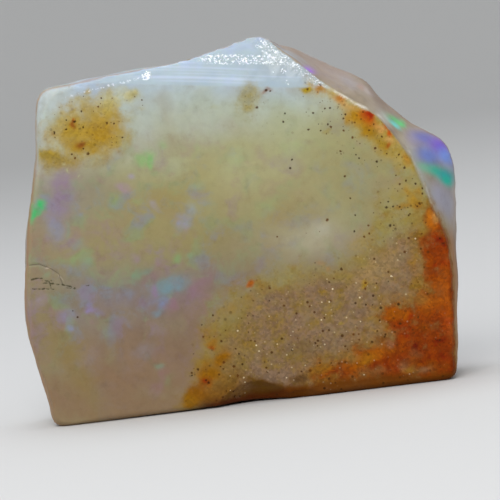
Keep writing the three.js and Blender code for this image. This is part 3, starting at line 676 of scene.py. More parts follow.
# %% Dark grains on the face: across, up, radius
GRAINS = [
    (2.5, 22.0, 0.15), (4.5, 21.3, 0.12), (4.3, 20.7, 0.13), (4.6, 17.8, 0.11), (4.4, 17.2, 0.14),
    (6.7, 13.0, 0.17), (2.8, 12.2, 0.11), (3.3, 23.2, 0.16), (3.6, 23.1, 0.1), (6.0, 12.2, 0.08),
    (5.0, 12.2, 0.07), (-13.1, 8.5, 0.09), (-12.8, 8.0, 0.1), (14.9, 10.6, 0.12), (15.1, 10.2, 0.1),
    (14.0, 3.0, 0.13), (13.7, 3.1, 0.1), (4.6, 6.7, 0.14), (2.7, 7.0, 0.15), (-2.7, 6.9, 0.12),
    (-0.4, 8.0, 0.09), (7.3, 9.2, 0.16), (5.4, 9.9, 0.09), (13.4, 10.0, 0.14), (8.9, 7.5, 0.14),
    (8.8, 6.3, 0.12), (6.2, 6.9, 0.13), (5.6, 5.7, 0.12), (10.0, 3.9, 0.14), (9.7, 5.0, 0.12),
    (11.2, 4.6, 0.16), (12.6, 4.9, 0.13), (2.9, 3.6, 0.12), (4.7, 3.9, 0.14), (6.9, 3.4, 0.12),
    (3.4, 1.9, 0.11), (6.3, 23.4, 0.1), (6.4, 22.9, 0.14), (7.4, 23.1, 0.13), (7.1, 22.6, 0.09),
    (6.0, 22.4, 0.08), (7.2, 21.8, 0.09), (7.4, 21.9, 0.08), (7.9, 21.3, 0.12), (7.5, 21.3, 0.12),
    (7.3, 21.1, 0.08), (6.6, 21.1, 0.12), (6.1, 21.2, 0.08), (8.5, 21.3, 0.09), (8.6, 21.5, 0.08),
    (8.7, 20.7, 0.09), (9.0, 20.7, 0.12), (8.8, 20.4, 0.13), (7.8, 20.3, 0.08), (7.6, 20.1, 0.12),
    (7.8, 19.9, 0.13), (6.9, 20.2, 0.09), (6.1, 19.9, 0.12), (7.0, 19.7, 0.1), (7.4, 19.4, 0.09),
    (8.7, 19.5, 0.12), (8.7, 19.8, 0.08), (9.3, 18.9, 0.13), (9.5, 18.9, 0.08), (9.6, 20.0, 0.11),
    (9.2, 20.2, 0.09), (10.1, 20.2, 0.1), (10.3, 20.7, 0.1), (10.7, 19.6, 0.09), (11.0, 19.7, 0.1),
    (10.6, 19.3, 0.12), (10.9, 19.2, 0.08), (10.4, 18.9, 0.09), (11.2, 18.8, 0.08), (11.5, 18.7, 0.12),
    (9.6, 18.6, 0.08), (9.8, 18.4, 0.09), (11.3, 18.4, 0.08), (10.9, 17.9, 0.13), (11.3, 17.7, 0.09),
    (11.7, 17.4, 0.1), (9.3, 18.1, 0.08), (8.3, 18.0, 0.12), (8.3, 17.8, 0.09), (8.0, 17.9, 0.08),
    (9.4, 17.6, 0.1), (9.6, 17.3, 0.1), (10.0, 17.1, 0.08), (10.9, 16.9, 0.13), (12.6, 17.2, 0.13),
    (12.8, 17.0, 0.09), (12.4, 17.0, 0.08), (13.2, 16.9, 0.08), (10.9, 16.5, 0.09), (12.9, 16.2, 0.15),
    (12.2, 15.7, 0.1), (12.9, 15.2, 0.12), (13.4, 15.3, 0.08), (12.4, 15.0, 0.12), (13.6, 14.9, 0.12),
    (12.0, 14.7, 0.08), (12.2, 14.5, 0.09), (14.1, 14.5, 0.12), (14.0, 14.1, 0.13), (8.6, 14.4, 0.1),
    (8.4, 16.1, 0.13), (11.4, 13.8, 0.1), (11.2, 13.4, 0.16), (11.7, 13.4, 0.12), (12.2, 13.3, 0.1),
    (12.3, 13.1, 0.09), (12.8, 13.2, 0.09), (13.7, 13.4, 0.17), (13.5, 13.2, 0.1), (13.4, 13.3, 0.08),
    (12.9, 12.7, 0.1), (12.8, 12.6, 0.1), (8.8, 13.1, 0.1), (10.2, 13.1, 0.09), (10.8, 13.8, 0.09),
    (11.3, 12.0, 0.16), (11.6, 12.0, 0.1), (9.7, 12.2, 0.12), (9.7, 11.6, 0.12), (9.3, 11.4, 0.12),
    (8.6, 11.9, 0.13), (11.5, 11.6, 0.08), (13.6, 11.1, 0.14), (14.0, 11.9, 0.1), (13.8, 12.1, 0.08),
    (-10.3, 24.4, 0.08), (-9.0, 24.1, 0.11), (-8.2, 24.0, 0.09), (-6.5, 23.9, 0.09), (-6.0, 23.6, 0.1),
    (-6.0, 23.2, 0.07), (-9.1, 23.7, 0.09), (-9.3, 23.5, 0.1), (-11.2, 24.1, 0.07), (-12.2, 23.8, 0.09),
    (-12.6, 23.3, 0.07), (-9.7, 23.2, 0.08), (-10.6, 23.3, 0.11), (-11.8, 22.8, 0.1), (-11.2, 22.6, 0.15),
    (-8.8, 22.2, 0.13), (-8.3, 22.1, 0.11), (-8.5, 22.2, 0.07), (-10.6, 22.1, 0.11), (-11.9, 22.1, 0.13),
    (-12.8, 22.0, 0.12), (-12.8, 21.9, 0.1), (-12.8, 21.6, 0.09), (-7.9, 22.2, 0.08), (-9.3, 21.9, 0.08),
    (-7.8, 21.0, 0.11), (-8.6, 21.1, 0.08), (-8.2, 21.1, 0.07), (-8.3, 20.7, 0.09), (-8.6, 20.7, 0.07),
    (-10.8, 20.5, 0.1), (-10.5, 20.1, 0.16), (-11.7, 20.2, 0.11), (-11.5, 19.9, 0.13), (-11.3, 20.1, 0.07),
    (-7.1, 23.7, 0.07), (-3.6, 6.3, 0.1), (-3.6, 5.4, 0.13), (-2.3, 4.9, 0.14), (-2.8, 5.3, 0.09),
    (-4.5, 4.2, 0.09), (-1.3, 4.2, 0.1), (-1.1, 3.8, 0.12), (-2.3, 3.3, 0.15), (-4.3, 3.0, 0.15),
    (-4.6, 3.1, 0.09), (-4.8, 2.8, 0.13), (-4.8, 2.6, 0.1), (-1.6, 2.9, 0.16), (-2.6, 3.0, 0.1),
    (-2.4, 2.8, 0.12), (-3.6, 1.9, 0.15), (-3.8, 2.1, 0.12), (-1.4, 2.1, 0.1), (-0.6, 3.1, 0.09),
    (0.2, 4.6, 0.1), (0.8, 2.5, 0.12), (-1.6, 1.7, 0.09), (0.8, 3.9, 0.09), (1.0, 3.0, 0.09),
    (-0.2, 5.3, 0.09), (-0.7, 3.6, 0.09),
]

print("placed grains:", len(GRAINS))

# %% The arrows from the grains
# Close neighbours go into different sets, so that the arrows of one set never point opposite ways in a facet.
GRAIN_SETS = 3
SMALL_GRAIN = 0.095
FAINT = 0.45
# Two lengths that are further than any grain reaches.
FAR = 99.0
HIDDEN = 9

sets = [[] for _ in range(GRAIN_SETS)]
for one in GRAINS:
    to_sets = [min((math.dist(one[:2], other[:2]) for other in chosen), default=FAR) for chosen in sets]
    sets[int(np.argmax(to_sets))].append(one)
nearest_grain = np.full(len(flat), FAR)
for number, chosen in enumerate(sets):
    nearest = np.full(len(flat), FAR)
    arrows = np.zeros((len(flat), 3))
    for x, z, radius in chosen:
        arrow = (drawn - (x, z)) / radius
        length = np.linalg.norm(arrow, axis=1)
        nearer = length < nearest
        nearest[nearer] = length[nearer]
        arrows[nearer, :2] = arrow[nearer]
        # A third number above 0 makes a grain fainter, as the smallest ones are, which lie deeper.
        arrows[nearer, 2] = FAINT * (radius < SMALL_GRAIN)
    arrows[:, 2] += 3 * soft_step(1.6, 3.0, nearest) + np.where(in_crust, 0, HIDDEN)
    store(f"grain_{number}", arrows, "FLOAT_VECTOR")
    nearest_grain = np.minimum(nearest_grain, nearest)
print("grains in each set:", [len(chosen) for chosen in sets])

# %% Where finer pepper lies: too small to place one by one, along the crest and round the ochre patch
# These patches are listed as the stains are, but only what they cover is used.
PEPPERED = [
    (9.8, 19.4, 4.6, 2.0, -50, 0.6, "#000000"), (12.4, 14.5, 2.6, 1.6, -60, 0.6, "#000000"),
    (4.6, 20.4, 1.6, 1.0, 0, 0.6, "#000000"), (-10.4, 21.8, 2.9, 2.2, 0, 0.45, "#000000"),
    (2.2, 22.6, 1.0, 1.0, 0, 0.6, "#000000"), (-3.4, 3.6, 1.9, 1.2, 60, 0.8, "#000000"),
]
store("pepper", layers(PEPPERED, shifted)[1] * in_crust)
print("peppered patches:", len(PEPPERED))

# %% Crack and root-like scratches on the left edge
CRACK = [(-16.5, 12.3), (-15.2, 12.3), (-14.4, 11.9), (-13.8, 11.4), (-13.6, 10.5)]
SCRATCHES = [
    [(-15.9, 11.2), (-15.4, 11.25), (-15.1, 11.2)], [(-15.3, 11.05), (-14.4, 10.95)],
    [(-15.1, 10.85), (-14.5, 10.75), (-13.4, 10.5), (-12.7, 10.2)],
    [(-15.9, 10.5), (-15.0, 10.4), (-14.3, 10.3)],
    [(-14.6, 10.9), (-14.5, 10.3)], [(-13.4, 10.3), (-12.8, 10.15)], [(-11.9, 10.3), (-11.6, 10.25)],
]
crack_mm = away_from_path(drawn, CRACK)
scratch_mm = np.min([away_from_path(drawn, path) for path in SCRATCHES], axis=0)
not_front = np.where(depth < 1.5, 0, HIDDEN)
store("crack_mm", crack_mm + not_front)
store("scratch_mm", scratch_mm + not_front)
print("scratches:", len(SCRATCHES))

# %% [markdown]
# ## Saw marks, wear and flake scars
# A diamond saw leaves fine parallel lines, and where it broke out of the stone the surface is chattered
# into tiny chips that glint. The crest between face and bevel is worn in the same way. The back was struck
# off in broad shell-shaped flakes. Each of these is a mask here, so that relief and colour agree about
# where it is, and the colour paints the glints of the chips and a highlight on the crest.

# %% The sawn band, and pale streaks on it, faint ridges with painted sheen: height above the saw line, half width, from, to, strength
SAW_STREAKS = [
    (1.28, 0.07, 1.6, 9.4, 0.45), (1.05, 0.05, 0.0, 7.4, 0.35), (0.52, 0.11, 0.2, 9.0, 0.6),
    (0.25, 0.06, 2.0, 8.6, 0.4), (0.82, 0.05, 3.0, 12.4, 0.35), (1.62, 0.07, 0.8, 5.0, 0.4),
]

above = above_saw_line(place)
along_saw = (flat - SAW_LEFT) @ SAW_ALONG
front = soft_step(-0.55, -0.8, facing_back) * soft_step(1.8, 1.4, depth)
on_saw = soft_step(-0.1, 0.1, above) * front * soft_step(9.0, 8.4, x_mm)
streaks = np.zeros(len(flat))
for high, half_width, begin, end, strength in SAW_STREAKS:
    bend = 0.05 * np.sin(along_saw / 2.5)
    profile = np.exp(-(((above - high - bend) / half_width) ** 2))
    ends = soft_step(begin - 1.0, begin + 1.0, along_saw) * soft_step(end + 1.5, end - 1.5, along_saw)
    streaks = np.maximum(streaks, strength * profile * ends)
store("on_saw", on_saw)
store("streaks", streaks * on_saw)
print("vertices on the sawn band:", int((on_saw > 0.5).sum()))

# %% The worn crest and the chattered chips, which the colour paints with glints and a highlight line
SAW_END = 12.4
CREST = [(3.4, 27.0), (8.1, 22.8), (11.6, 20.3), (13.2, 18.2), (14.3, 14.7), (15.0, 11.6)]
RED_CORE = np.array((10.9, 20.7))
CHIP_CHAIN = [(-11.6, 24.6), (-9.0, 25.0), (-5.4, 25.4)]
# Single chips: across, up, radius, strength
LOOSE_CHIPS = [
    (-5.4, 25.35, 0.55, 1.5), (3.98, 24.45, 0.22, 0.9), (4.8, 24.35, 0.34, 0.9), (4.95, 23.6, 0.26, 1.0),
]

away_from_crest = away_from_path(flat, CREST)
worn = soft_step(0.30, 0.04, away_from_crest) * soft_step(1.6, 0.9, depth)
chatter_row = soft_step(1.35, 1.75, above) * soft_step(2.55, 2.25, above)
chatter_row *= soft_step(3.0, 6.0, along_saw) * soft_step(SAW_END, SAW_END - 1.5, along_saw)
chatter_slope = soft_step(1.3, 0.3, away_from_crest) * soft_step(1.2, 1.7, above)
chatter_slope = chatter_slope * soft_step(7.5, 9.5, along_saw) * soft_step(4.1, 2.9, above)
chatter_low = 0.75 * soft_step(0.9, 0.2, away_from_crest) * soft_step(21.8, 23.4, z_mm)
chatter = on_saw * np.max([0.9 * chatter_row, 0.85 * chatter_slope, chatter_low], axis=0)
chain = soft_step(0.22, 0.06, away_from_path(flat, CHIP_CHAIN)) * soft_step(1.2, 0.6, depth)
loose = np.zeros(len(flat))
for x, z, radius, strength in LOOSE_CHIPS:
    near_chip = soft_step(radius, 0.45 * radius, np.hypot(*(shifted - (x, z)).T))
    loose = np.maximum(loose, strength * near_chip * soft_step(1.2, 0.6, depth))
upper_crest = soft_step(22.2, 23.8, z_mm)
chips = np.max([chatter, 0.85 * worn * upper_crest, 0.72 * chain, loose], axis=0)
# A thin pale line along the crest, partly wear and partly a painted highlight.
crest_line = soft_step(0.12, 0.02, away_from_crest) * soft_step(1.2, 0.7, depth)
crest_line *= 0.3 * soft_step(12.0, 14.0, z_mm) + 0.7 * soft_step(19.6, 21.4, z_mm)
crest_line *= (1 - upper_crest) * soft_step(0.15, 0.60, np.hypot(*(flat - RED_CORE).T))
store("chips", chips)
store("crest_line", crest_line)
print("vertices in the chips:", int((chips > 0.5).sum()))

# %% Where the front ends and the stone turns away
store("front", soft_step(-0.02, -0.25, facing_back) * soft_step(3.2, 2.0, depth))
turned = soft_step(-0.5, -0.2, facing_back)
store("turned", turned)
# Where the face turns away, away from the bevel, a warm rim is painted on: painted light that the thin
# translucent edge lets through.
store("rim", 0.75 * turned * (1 - beside_bevel))
print("share of the vertices on the front:", round(float((front > 0.5).mean()), 2))

# %% Flake scars on the back: a point on the scar, its direction, the radius of its curve and its depth, in mm
# The first coordinates are across, inward from the flat face, and up.
RIPPLE_SPACING = 2.3
FROM_ABOVE = 11
FROM_BELOW = -9
FLAKE_SCARS = [
    ((9.5, 10.6, 17.5), (0.34, 0.9, 0.22), 60, 1.1), ((-6.5, 11.4, 20), (-0.06, 0.94, 0.34), 75, 1.2),
    ((-10.5, 11, 8.5), (-0.36, 0.93, -0.08), 55, 1.2), ((8.5, 11.4, 5.5), (0.2, 0.95, -0.22), 48, 1.1),
    ((1.5, 12.2, 13), (0.05, 0.99, 0.1), 40, 0.55), ((-3.5, 11.8, 3), (-0.1, 0.93, -0.36), 50, 0.8),
]
from_face = place - (0, FACE_Y / MM, 0)
back = soft_step(0.1, 0.4, facing_back)
ripples = np.zeros(len(place))
to_scar = []
for at, direction, radius, cut in FLAKE_SCARS:
    out = np.array(direction) / np.linalg.norm(direction)
    off = np.linalg.norm(from_face - at - out * (radius - cut), axis=1) - radius
    to_scar.append(np.abs(off))
    struck_at = np.array(at) + (0, 0, FROM_ABOVE if at[2] > 10 else FROM_BELOW)
    from_strike = np.linalg.norm(from_face - struck_at, axis=1)
    shell = np.sin(from_strike * 2 * math.pi / RIPPLE_SPACING) * soft_step(20, 5, from_strike)
    ripples += shell * soft_step(0.10, 0.03, np.abs(off))
scar_mm = np.min(to_scar, axis=0)
print("share of the back in flake scars:", round(float((scar_mm[back > 0.5] < 0.08).mean()), 2))

# %% Outlines of the stained zones on the back
# The skin of host rock runs across the back in a belt, and the iron gathers at its foot.
BACK_SANDSTONE = [
    (18, 5.0), (14.0, 7.4), (10.6, 8.2), (7.6, 10.8), (4.4, 14.6), (0.6, 17.4), (-3.4, 18.2), (-6.2, 16.4),
    (-6.6, 13.4), (-4.2, 11.2), (-2.6, 8.0), (-4.6, 5.4), (-8.0, 3.6), (-9.4, -4), (18, -4),
]
BACK_RUST = [(18, 3.4), (13.4, 5.2), (9.6, 4.0), (6.8, 5.4), (4.6, 3.0), (1.0, 2.2), (0.2, -4), (18, -4)]
BACK_VEIN = [(4.6, 12.0), (2.0, 14.6), (-1.6, 15.8), (-2.2, 14.4), (0.4, 12.8), (2.2, 10.2), (3.4, 9.8)]
BACK_BORDER = 1.5
BACK_WANDER = 1.1

roaming = flat + BACK_WANDER * np.column_stack((lumps(3.0, 4, 3), lumps(3.0, 5, 3)))
behind = 20 * (back - 1)
back_sand = inside(roaming, BACK_SANDSTONE) + behind
back_rust = np.maximum(inside(roaming, BACK_RUST), inside(roaming, BACK_VEIN)) + behind
sand_mm = np.maximum(sand_mm, back_sand)
rust_mm = np.maximum(rust_mm, back_rust)
border_mm = np.maximum(border_mm, back_sand + BACK_BORDER * (1 + lumps(2.4, 6, 2)))
store("sand_mm", sand_mm)
store("border_mm", border_mm)
store("ochre_mm", ochre_mm)
store("rust_mm", rust_mm)
print("share of the back in sandstone:", round(float((back_sand[back > 0.5] > 0).mean()), 2))

# %% The walls, and the part of them that the iron has tinted
walls = np.clip(1 - front - back - bevel, 0, 1)
lumpy_depth = depth + 0.8 * lumpy
near_face = soft_step(2.6, 0.4, lumpy_depth)
low_right = soft_step(14.5, 12.0, z_mm + lumpy) * soft_step(6.0, 13.0, x_mm)
low_right *= soft_step(8.5, 3.0, depth + 1.6 * lumpy)
uneven = np.clip(0.22 + 0.5 * lumps(2.2, 13, 2), 0.05, 0.5)
ambered = soft_step(-0.75, -0.4, facing_back) * np.maximum(uneven * near_face, low_right) * (1 - bevel)
ambered *= 1 - beside_bevel * (1 - back)
store("amber", ambered)
store("amber_dark", ambered * near_face * low_right)
# The clear opal of the bevel blushes on into the wall behind it, and below it a brown-orange rim follows the
# face, partly its own tint and partly painted light that shines through the thin edge.
store("blush", soft_step(8.0, 3.4, lumpy_depth) * right_part * bevel_foot)
rim_below = soft_step(0.08, 0.35, depth) * soft_step(3.5, 1.5, lumpy_depth)
store("low_rim_tint_and_light", rim_below * soft_step(11.8, 9.8, z_mm) * soft_step(9.0, 13.0, x_mm))
store("not_face", np.clip(walls + back, 0, 1))
print("share of the vertices on the walls:", round(float((walls > 0.5).mean()), 2))

# %% [markdown]
# ## Relief
# The relief could be sculpted. Here every vertex moves along its own normal, mostly by a few hundredths of
# a millimetre and on the back and the walls by a tenth or more, by seeded noise whose lump size and height
# suit the finish: sand grains, blistered iron crust, saw lines, chips, the open crack and the shell ripples
# of a struck flake. It is real geometry, so it catches the light at the silhouette as well.


# %% Noise for the relief
def saw_lines(spacing, seed):
    """Heights of the lines that a saw leaves, which run along the band and change slowly."""
    grid = np.column_stack((along_saw / 9, above / spacing, np.full(len(above), seed)))
    return np.array([noise.noise(Vector(p)) for p in grid])


fray = lumps(0.9, 7, 2)
in_sand = soft_step(-0.2, 0.25, sand_mm + 0.3 * fray)
in_ochre = soft_step(-0.2, 0.3, np.maximum(ochre_mm, border_mm) + 0.3 * fray)
in_rust = soft_step(-0.15, 0.2, rust_mm + 0.3 * fray)
fine = lumps(0.32, 8)
small = lumps(0.7, 9, 2)
broad = lumps(3.2, 10, 2)
wide = lumps(6.5, 11)
print("noise heights from", round(fine.min(), 2), "to", round(fine.max(), 2))

# %% Heights in mm, added up
smooth_part = (1 - in_sand) * (1 - in_rust)
pits = soft_step(1.2, 0.5, nearest_grain) * in_crust
height = 0.05 * wide * front + 0.012 * small * front * smooth_part
height += in_sand * (0.014 * fine + 0.030 * small)
height += in_rust * (0.035 * small + 0.012 * fine)
height += 0.015 * in_ochre * (1 - in_sand) * fine
height -= 0.03 * pits
height += on_saw * (0.012 * saw_lines(0.30, 1) + 0.012 * saw_lines(0.75, 2) + 0.010 * streaks)
height += chips * 0.05 * np.minimum(lumps(0.15, 12), 0.1)
height -= 0.04 * in_chip * (1 + small)
height -= 0.07 * soft_step(0.15, 0.02, crack_mm + 0.06 * fine)
height -= 0.02 * soft_step(0.12, 0.02, scratch_mm + 0.1 * fine)
height += walls * (0.10 * broad + 0.035 * small + 0.01 * fine)
height += bevel * (0.06 * broad + 0.015 * small)
height += back * (0.10 * broad + 0.015 * small + 0.04 * ripples * (1 - in_sand))
height += back * in_sand * (0.12 * small + 0.05 * fine)
edge = np.minimum(1, 12 * np.maximum(0, 0.25 - np.abs(z_mm - 0.1)))
height *= 1 - 0.85 * edge * soft_step(-0.6, -0.9, facing[:, 2])
print("relief from", round(height.min(), 3), "to", round(height.max(), 3), "mm")

# %% Move the vertices, rub the lower right corner round, and stay inside the CAD box
# What lies outside a round of this radius, in mm, is drawn in to it.
CORNER_ROUND = 1.3
INSET = 0.01

moved = place + facing * height[:, None]
right_side = moved[np.abs(moved[:, 2] - CORNER_ROUND) < 0.1, 0].max()
from_middle = moved[:, [0, 2]] - (right_side - CORNER_ROUND, CORNER_ROUND)
reach = np.hypot(*from_middle.T)
rubbed = (from_middle[:, 0] > 0) & (from_middle[:, 1] < 0) & (reach > CORNER_ROUND)
shrink = np.where(rubbed, CORNER_ROUND / np.maximum(reach, 0.01), 1)
moved[:, [0, 2]] += from_middle * (shrink - 1)[:, None]
moved = np.clip(moved, np.array(cad_low) / MM + (INSET, 0, 0), np.array(cad_high) / MM - INSET)
moved[:, 2] = np.maximum(moved[:, 2], 0)
stone.data.vertices.foreach_set("co", (moved * MM).astype(np.float32).ravel())
stone.data.update()
only(stone)
bpy.ops.object.shade_smooth()
print("the corner at", round(right_side, 2), "mm is rubbed round on", int(rubbed.sum()), "vertices")

# %% [markdown]
# ## The opal
# Milky precious opal is amorphous silica full of water, with an IOR of 1.45 and a body that scatters light
# under its surface. That gives the soft, waxy depth. The face is a natural fracture, so it is satin and not
# polished. On it sit fine mauve-grey sandstone, ochre limonite and orange to red-brown haematite. One
# Principled shader holds them all, because they grow into each other.
#
# It could be wired up by hand in the shader editor. Here one function adds a node with its settings and its
# links, so that the material reads from top to bottom. Many sockets go by their number. A Map Range turns
# what comes in at 0 from the range between 1 and 2 into the range between 3 and 4, and what isn't given is
# 0 and 1. A colour Mix lays the colour at 7 over the one at 6, by the share at 0.

# %% The material, and the function that adds its nodes
opal = bpy.data.materials.new("milky_precious_opal_in_sandstone")
opal.use_nodes = True
tree = opal.node_tree
shader = tree.nodes["Principled BSDF"]


def fill(node, sockets):
    """Gives a node's sockets their values or links."""
    for key, value in sockets.items():
        if isinstance(value, bpy.types.NodeSocket):
            tree.links.new(value, node.inputs[key])
        else:
            node.inputs[key].default_value = value


def add(kind, sockets, out=0, **settings):
    """Adds a shader node with its settings and links, and returns one of its outputs."""
    made = tree.nodes.new("ShaderNode" + kind)
    for name, value in settings.items():
        setattr(made, name, value)
    fill(made, sockets)
    return made.outputs[out]


def stops(socket, colours):
    """Gives a colour ramp its stops, {place: hex colour}, and returns its colour."""
    ramp = socket.node.color_ramp
    places = sorted(colours)
    for at in places[1:-1]:
        ramp.elements.new(at)
    ramp.elements[0].position = places[0]
    ramp.elements[-1].position = places[-1]
    for element, at in zip(ramp.elements, places):
        element.color = linear(colours[at])
    return socket


print("the shader starts with", len(shader.inputs), "sockets")

# %% Settings, coordinates in mm, and what the vertices keep
MIX = {"data_type": "RGBA", "out": 2}
SHADE = {"blend_type": "MULTIPLY", **MIX}
EASE = {"interpolation_type": "SMOOTHSTEP"}
TIMES = {"operation": "MULTIPLY"}
TIMES_PLUS = {"operation": "MULTIPLY_ADD"}
MINUS = {"operation": "SUBTRACT"}
LARGER = {"operation": "MAXIMUM"}

metres = add("TexCoord", {}, out=3)
mm = add("VectorMath", {0: metres, 1: (1000, 1000, 1000)}, **TIMES)
across, _, up = add("SeparateXYZ", {0: mm}).node.outputs
kept = {}
for name, kind in stored.items():
    kept[name] = add("Attribute", {}, out=KINDS[kind][1], attribute_name=name)
print("values that the vertices keep:", len(kept))

# %% Smooth patterns: width of the lumps in mm, detail, roughness, distortion
PATTERNS = {
    "cloud": (7, 2, 0.45, 0),
    "swirl": (2.8, 2, 0.45, 0.3),
    "grit": (0.55, 4, 0.75, 0),
    "wobble": (0.7, 2, 0.6, 0),
    "fire hue": (3.5, 2.5, 0.55, 0),
    "fire": (1.6, 4, 0.62, 0.4),
    "wall fire": (3.2, 3, 0.5, 0),
    "bevel": (1.8, 3, 0.55, 0),
    "fray": (0.8, 5, 0.68, 0),
    "sand": (0.95, 4, 0.66, 0),
    "film": (1.4, 4, 0.55, 0),
    "rust": (1.6, 5, 0.65, 0),
    "pits": (2.0, 4, 0.6, 0),
    "jitter": (0.16, 1, 0.5, 0),
    "sawn band": (2.4, 2, 0.5, 0),
    "broken line": (0.25, 2, 0.5, 0),
    "grain bump": (0.15, 2, 0.5, 0),
}

pattern = {}
for name, (width, detail, roughness, distortion) in PATTERNS.items():
    pattern[name] = add("TexNoise", {
        "Vector": mm, "Scale": 1 / width, "Detail": detail, "Roughness": roughness, "Distortion": distortion})
print("the widest pattern has lumps of", max(row[0] for row in PATTERNS.values()), "mm")

# %% Body colour: bluish white at the top, through green-beige, to mauve-beige at the foot, partly the opal's own colour and partly painted light that makes the top lighter, where the light from above falls
STONE_HEIGHT = 27.4

# The ramp follows the height, and its lighter top is partly painted light.
drift = add("MapRange", {0: pattern["cloud"], 1: 0.25, 2: 0.75, 3: -0.08, 4: 0.08})
level = add("MapRange", {0: up, 2: STONE_HEIGHT})
level = add("Math", {0: level, 1: drift}, operation="ADD")
body = stops(add("ValToRGB", {0: level}), {
    0.05: "#90795b", 0.15: "#8b7257", 0.24: "#88725a", 0.33: "#897860", 0.42: "#928763", 0.51: "#998e63",
    0.60: "#9e9267", 0.69: "#a6a27a", 0.78: "#b0b4a2", 0.85: "#b4bfba", 0.92: "#b0bec8", 1.00: "#a8bed8",
})
warm = add("MapRange", {0: pattern["swirl"], 1: 0.46, 2: 0.70, 4: 0.30}, **EASE)
cool = add("MapRange", {0: pattern["swirl"], 1: 0.50, 2: 0.30, 4: 0.25}, **EASE)
for share, finish in (
    (warm, linear("#96836c")), (cool, linear("#9c9c78")), (kept["cloud_cover"], kept["cloud_colour"]),
):
    body = add("Mix", {0: share, 6: body, 7: finish}, **MIX)
grit = add("MapRange", {0: pattern["grit"], 1: 0.25, 2: 0.75, 3: 0.945, 4: 1.055})
body = add("Mix", {0: 1.0, 6: body, 7: grit}, **SHADE)
print("body colour is made")

# %% Play of colour: placed flashes with ragged edges, and faint pinfire between them
# A spectral hue would look like paint, so the pinfire has only the soft green, blue and violet of milky opal.
ragged_patch = add("MapRange", {0: pattern["wobble"], 1: 0.34, 2: 0.62, 3: 0.60}, **EASE)
flash = add("Math", {0: kept["flash_cover"], 1: ragged_patch}, use_clamp=True, **TIMES)
pinfire = stops(add("ValToRGB", {0: pattern["fire hue"]}), {
    0.32: "#8a80a0", 0.41: "#8090a0", 0.46: "#84987c", 0.51: "#8a9c70", 0.56: "#9a7e78", 0.66: "#907a98",
})
left_half = add("MapRange", {0: across, 1: 5.0, 2: -7.0, 3: 0.25, 4: 0.50}, **EASE)
under_top = add("MapRange", {0: up, 1: 23.0, 2: 17.0, 3: 0.1}, **EASE)
over_foot = add("MapRange", {0: up, 1: 3.0, 2: 9.0, 3: 0.15}, **EASE)
middle_height = add("Math", {0: under_top, 1: over_foot}, **TIMES)
faint = add("Math", {0: left_half, 1: middle_height}, **TIMES)
fire_cover = add("MapRange", {0: pattern["fire"], 1: 0.42, 2: 0.66}, **EASE)
faint = add("Math", {0: faint, 1: fire_cover}, use_clamp=True, **TIMES)
body = add("Mix", {0: faint, 6: body, 7: pinfire}, **MIX)
print("play of colour is made")

# %% Side walls and back: the same milky body, greyer and in faint beds, with broader fire
beds = add("Mapping", {"Vector": mm, "Scale": (0.10, 0.30, 0.10)})
bedding = add("TexNoise", {"Vector": beds, "Scale": 1.0, "Detail": 3.0, "Roughness": 0.5, "Distortion": 0.4})
wall = stops(add("ValToRGB", {0: bedding}), {
    0.32: "#a3937c", 0.44: "#b0a894", 0.53: "#b6b6aa", 0.62: "#a9afae", 0.74: "#b0a796",
})
wall_cloud = add("MapRange", {0: pattern["cloud"], 1: 0.35, 2: 0.65, 3: 0.2, 4: 0.7}, **EASE)
wall_parts = add("SeparateColor", {0: pattern["wall fire"].node.outputs[1]}).node.outputs
wall_hue = stops(add("ValToRGB", {0: wall_parts[0]}), {
    0.32: "#8a80b8", 0.42: "#7d9cb8", 0.48: "#74b098", 0.55: "#93b27c", 0.64: "#a98e98", 0.72: "#9a86b0",
})
wall_fire = add("MapRange", {0: wall_parts[1], 1: 0.52, 2: 0.64, 4: 0.48}, **EASE)
wall_fire = add("Math", {0: wall_fire, 1: ragged_patch}, **TIMES)
amber = add("Math", {0: kept["amber"], 1: 0.9}, **TIMES)
for share, finish in (
    (wall_cloud, body), (wall_fire, wall_hue), (amber, linear("#805c42")),
    (kept["amber_dark"], linear("#60401c")),
):
    wall = add("Mix", {0: share, 6: wall, 7: finish}, **MIX)
print("walls are made")

# %% The bevel: clear pink-grey opal with bright flashes, and a browner rim where it turns away
bevel_body = stops(add("ValToRGB", {0: pattern["bevel"]}), {
    0.32: "#8a7968", 0.46: "#998972", 0.56: "#a3937e", 0.68: "#968b84",
})
rim = add("MapRange", {0: kept["turned"], 1: 0.3, 4: 0.55}, **EASE)
for share, finish in ((kept["bevel_cover"], kept["bevel_colour"]), (rim, linear("#93796c"))):
    bevel_body = add("Mix", {0: share, 6: bevel_body, 7: finish}, **MIX)
blush = add("Math", {0: kept["blush"], 1: 0.85}, **TIMES)
wall = add("Mix", {0: blush, 6: wall, 7: bevel_body}, **MIX)
body = add("Mix", {0: kept["front"], 6: wall, 7: body}, **MIX)
# The rim of the face gets a warm painted glow, light that shines through its thin edge.
painted_rim_light = add("Math", {0: kept["rim"], 1: kept["front"]}, **TIMES)
# The low rim's brown orange is partly painted light, as through a thin translucent edge.
low_rim_tint_and_light = add("Math", {0: kept["low_rim_tint_and_light"], 1: 0.85}, **TIMES)
for share, finish in (
    (painted_rim_light, linear("#9e764e")), (kept["bevel"], bevel_body), (low_rim_tint_and_light, linear("#9c6830")),
    (flash, kept["flash_colour"]),
):
    body = add("Mix", {0: share, 6: body, 7: finish}, **MIX)
print("bevel is made")

# %% [markdown]
# ### The crust
# Quartz sand grains are 0.15 to 0.25 mm across, which is two or three pixels in a render of this stone.
# Each grain gets its own grey by a Voronoi pattern of that size, some are dark ironstone, and a few clear
# ones get a painted glint, a pale dot that stands in for their highlight. Iron oxide tints them: a thin
# olive film round the sandstone, yellow ochre above it, and orange to deep red haematite in the corner. The
# film is so thin that the opal still shows through it.

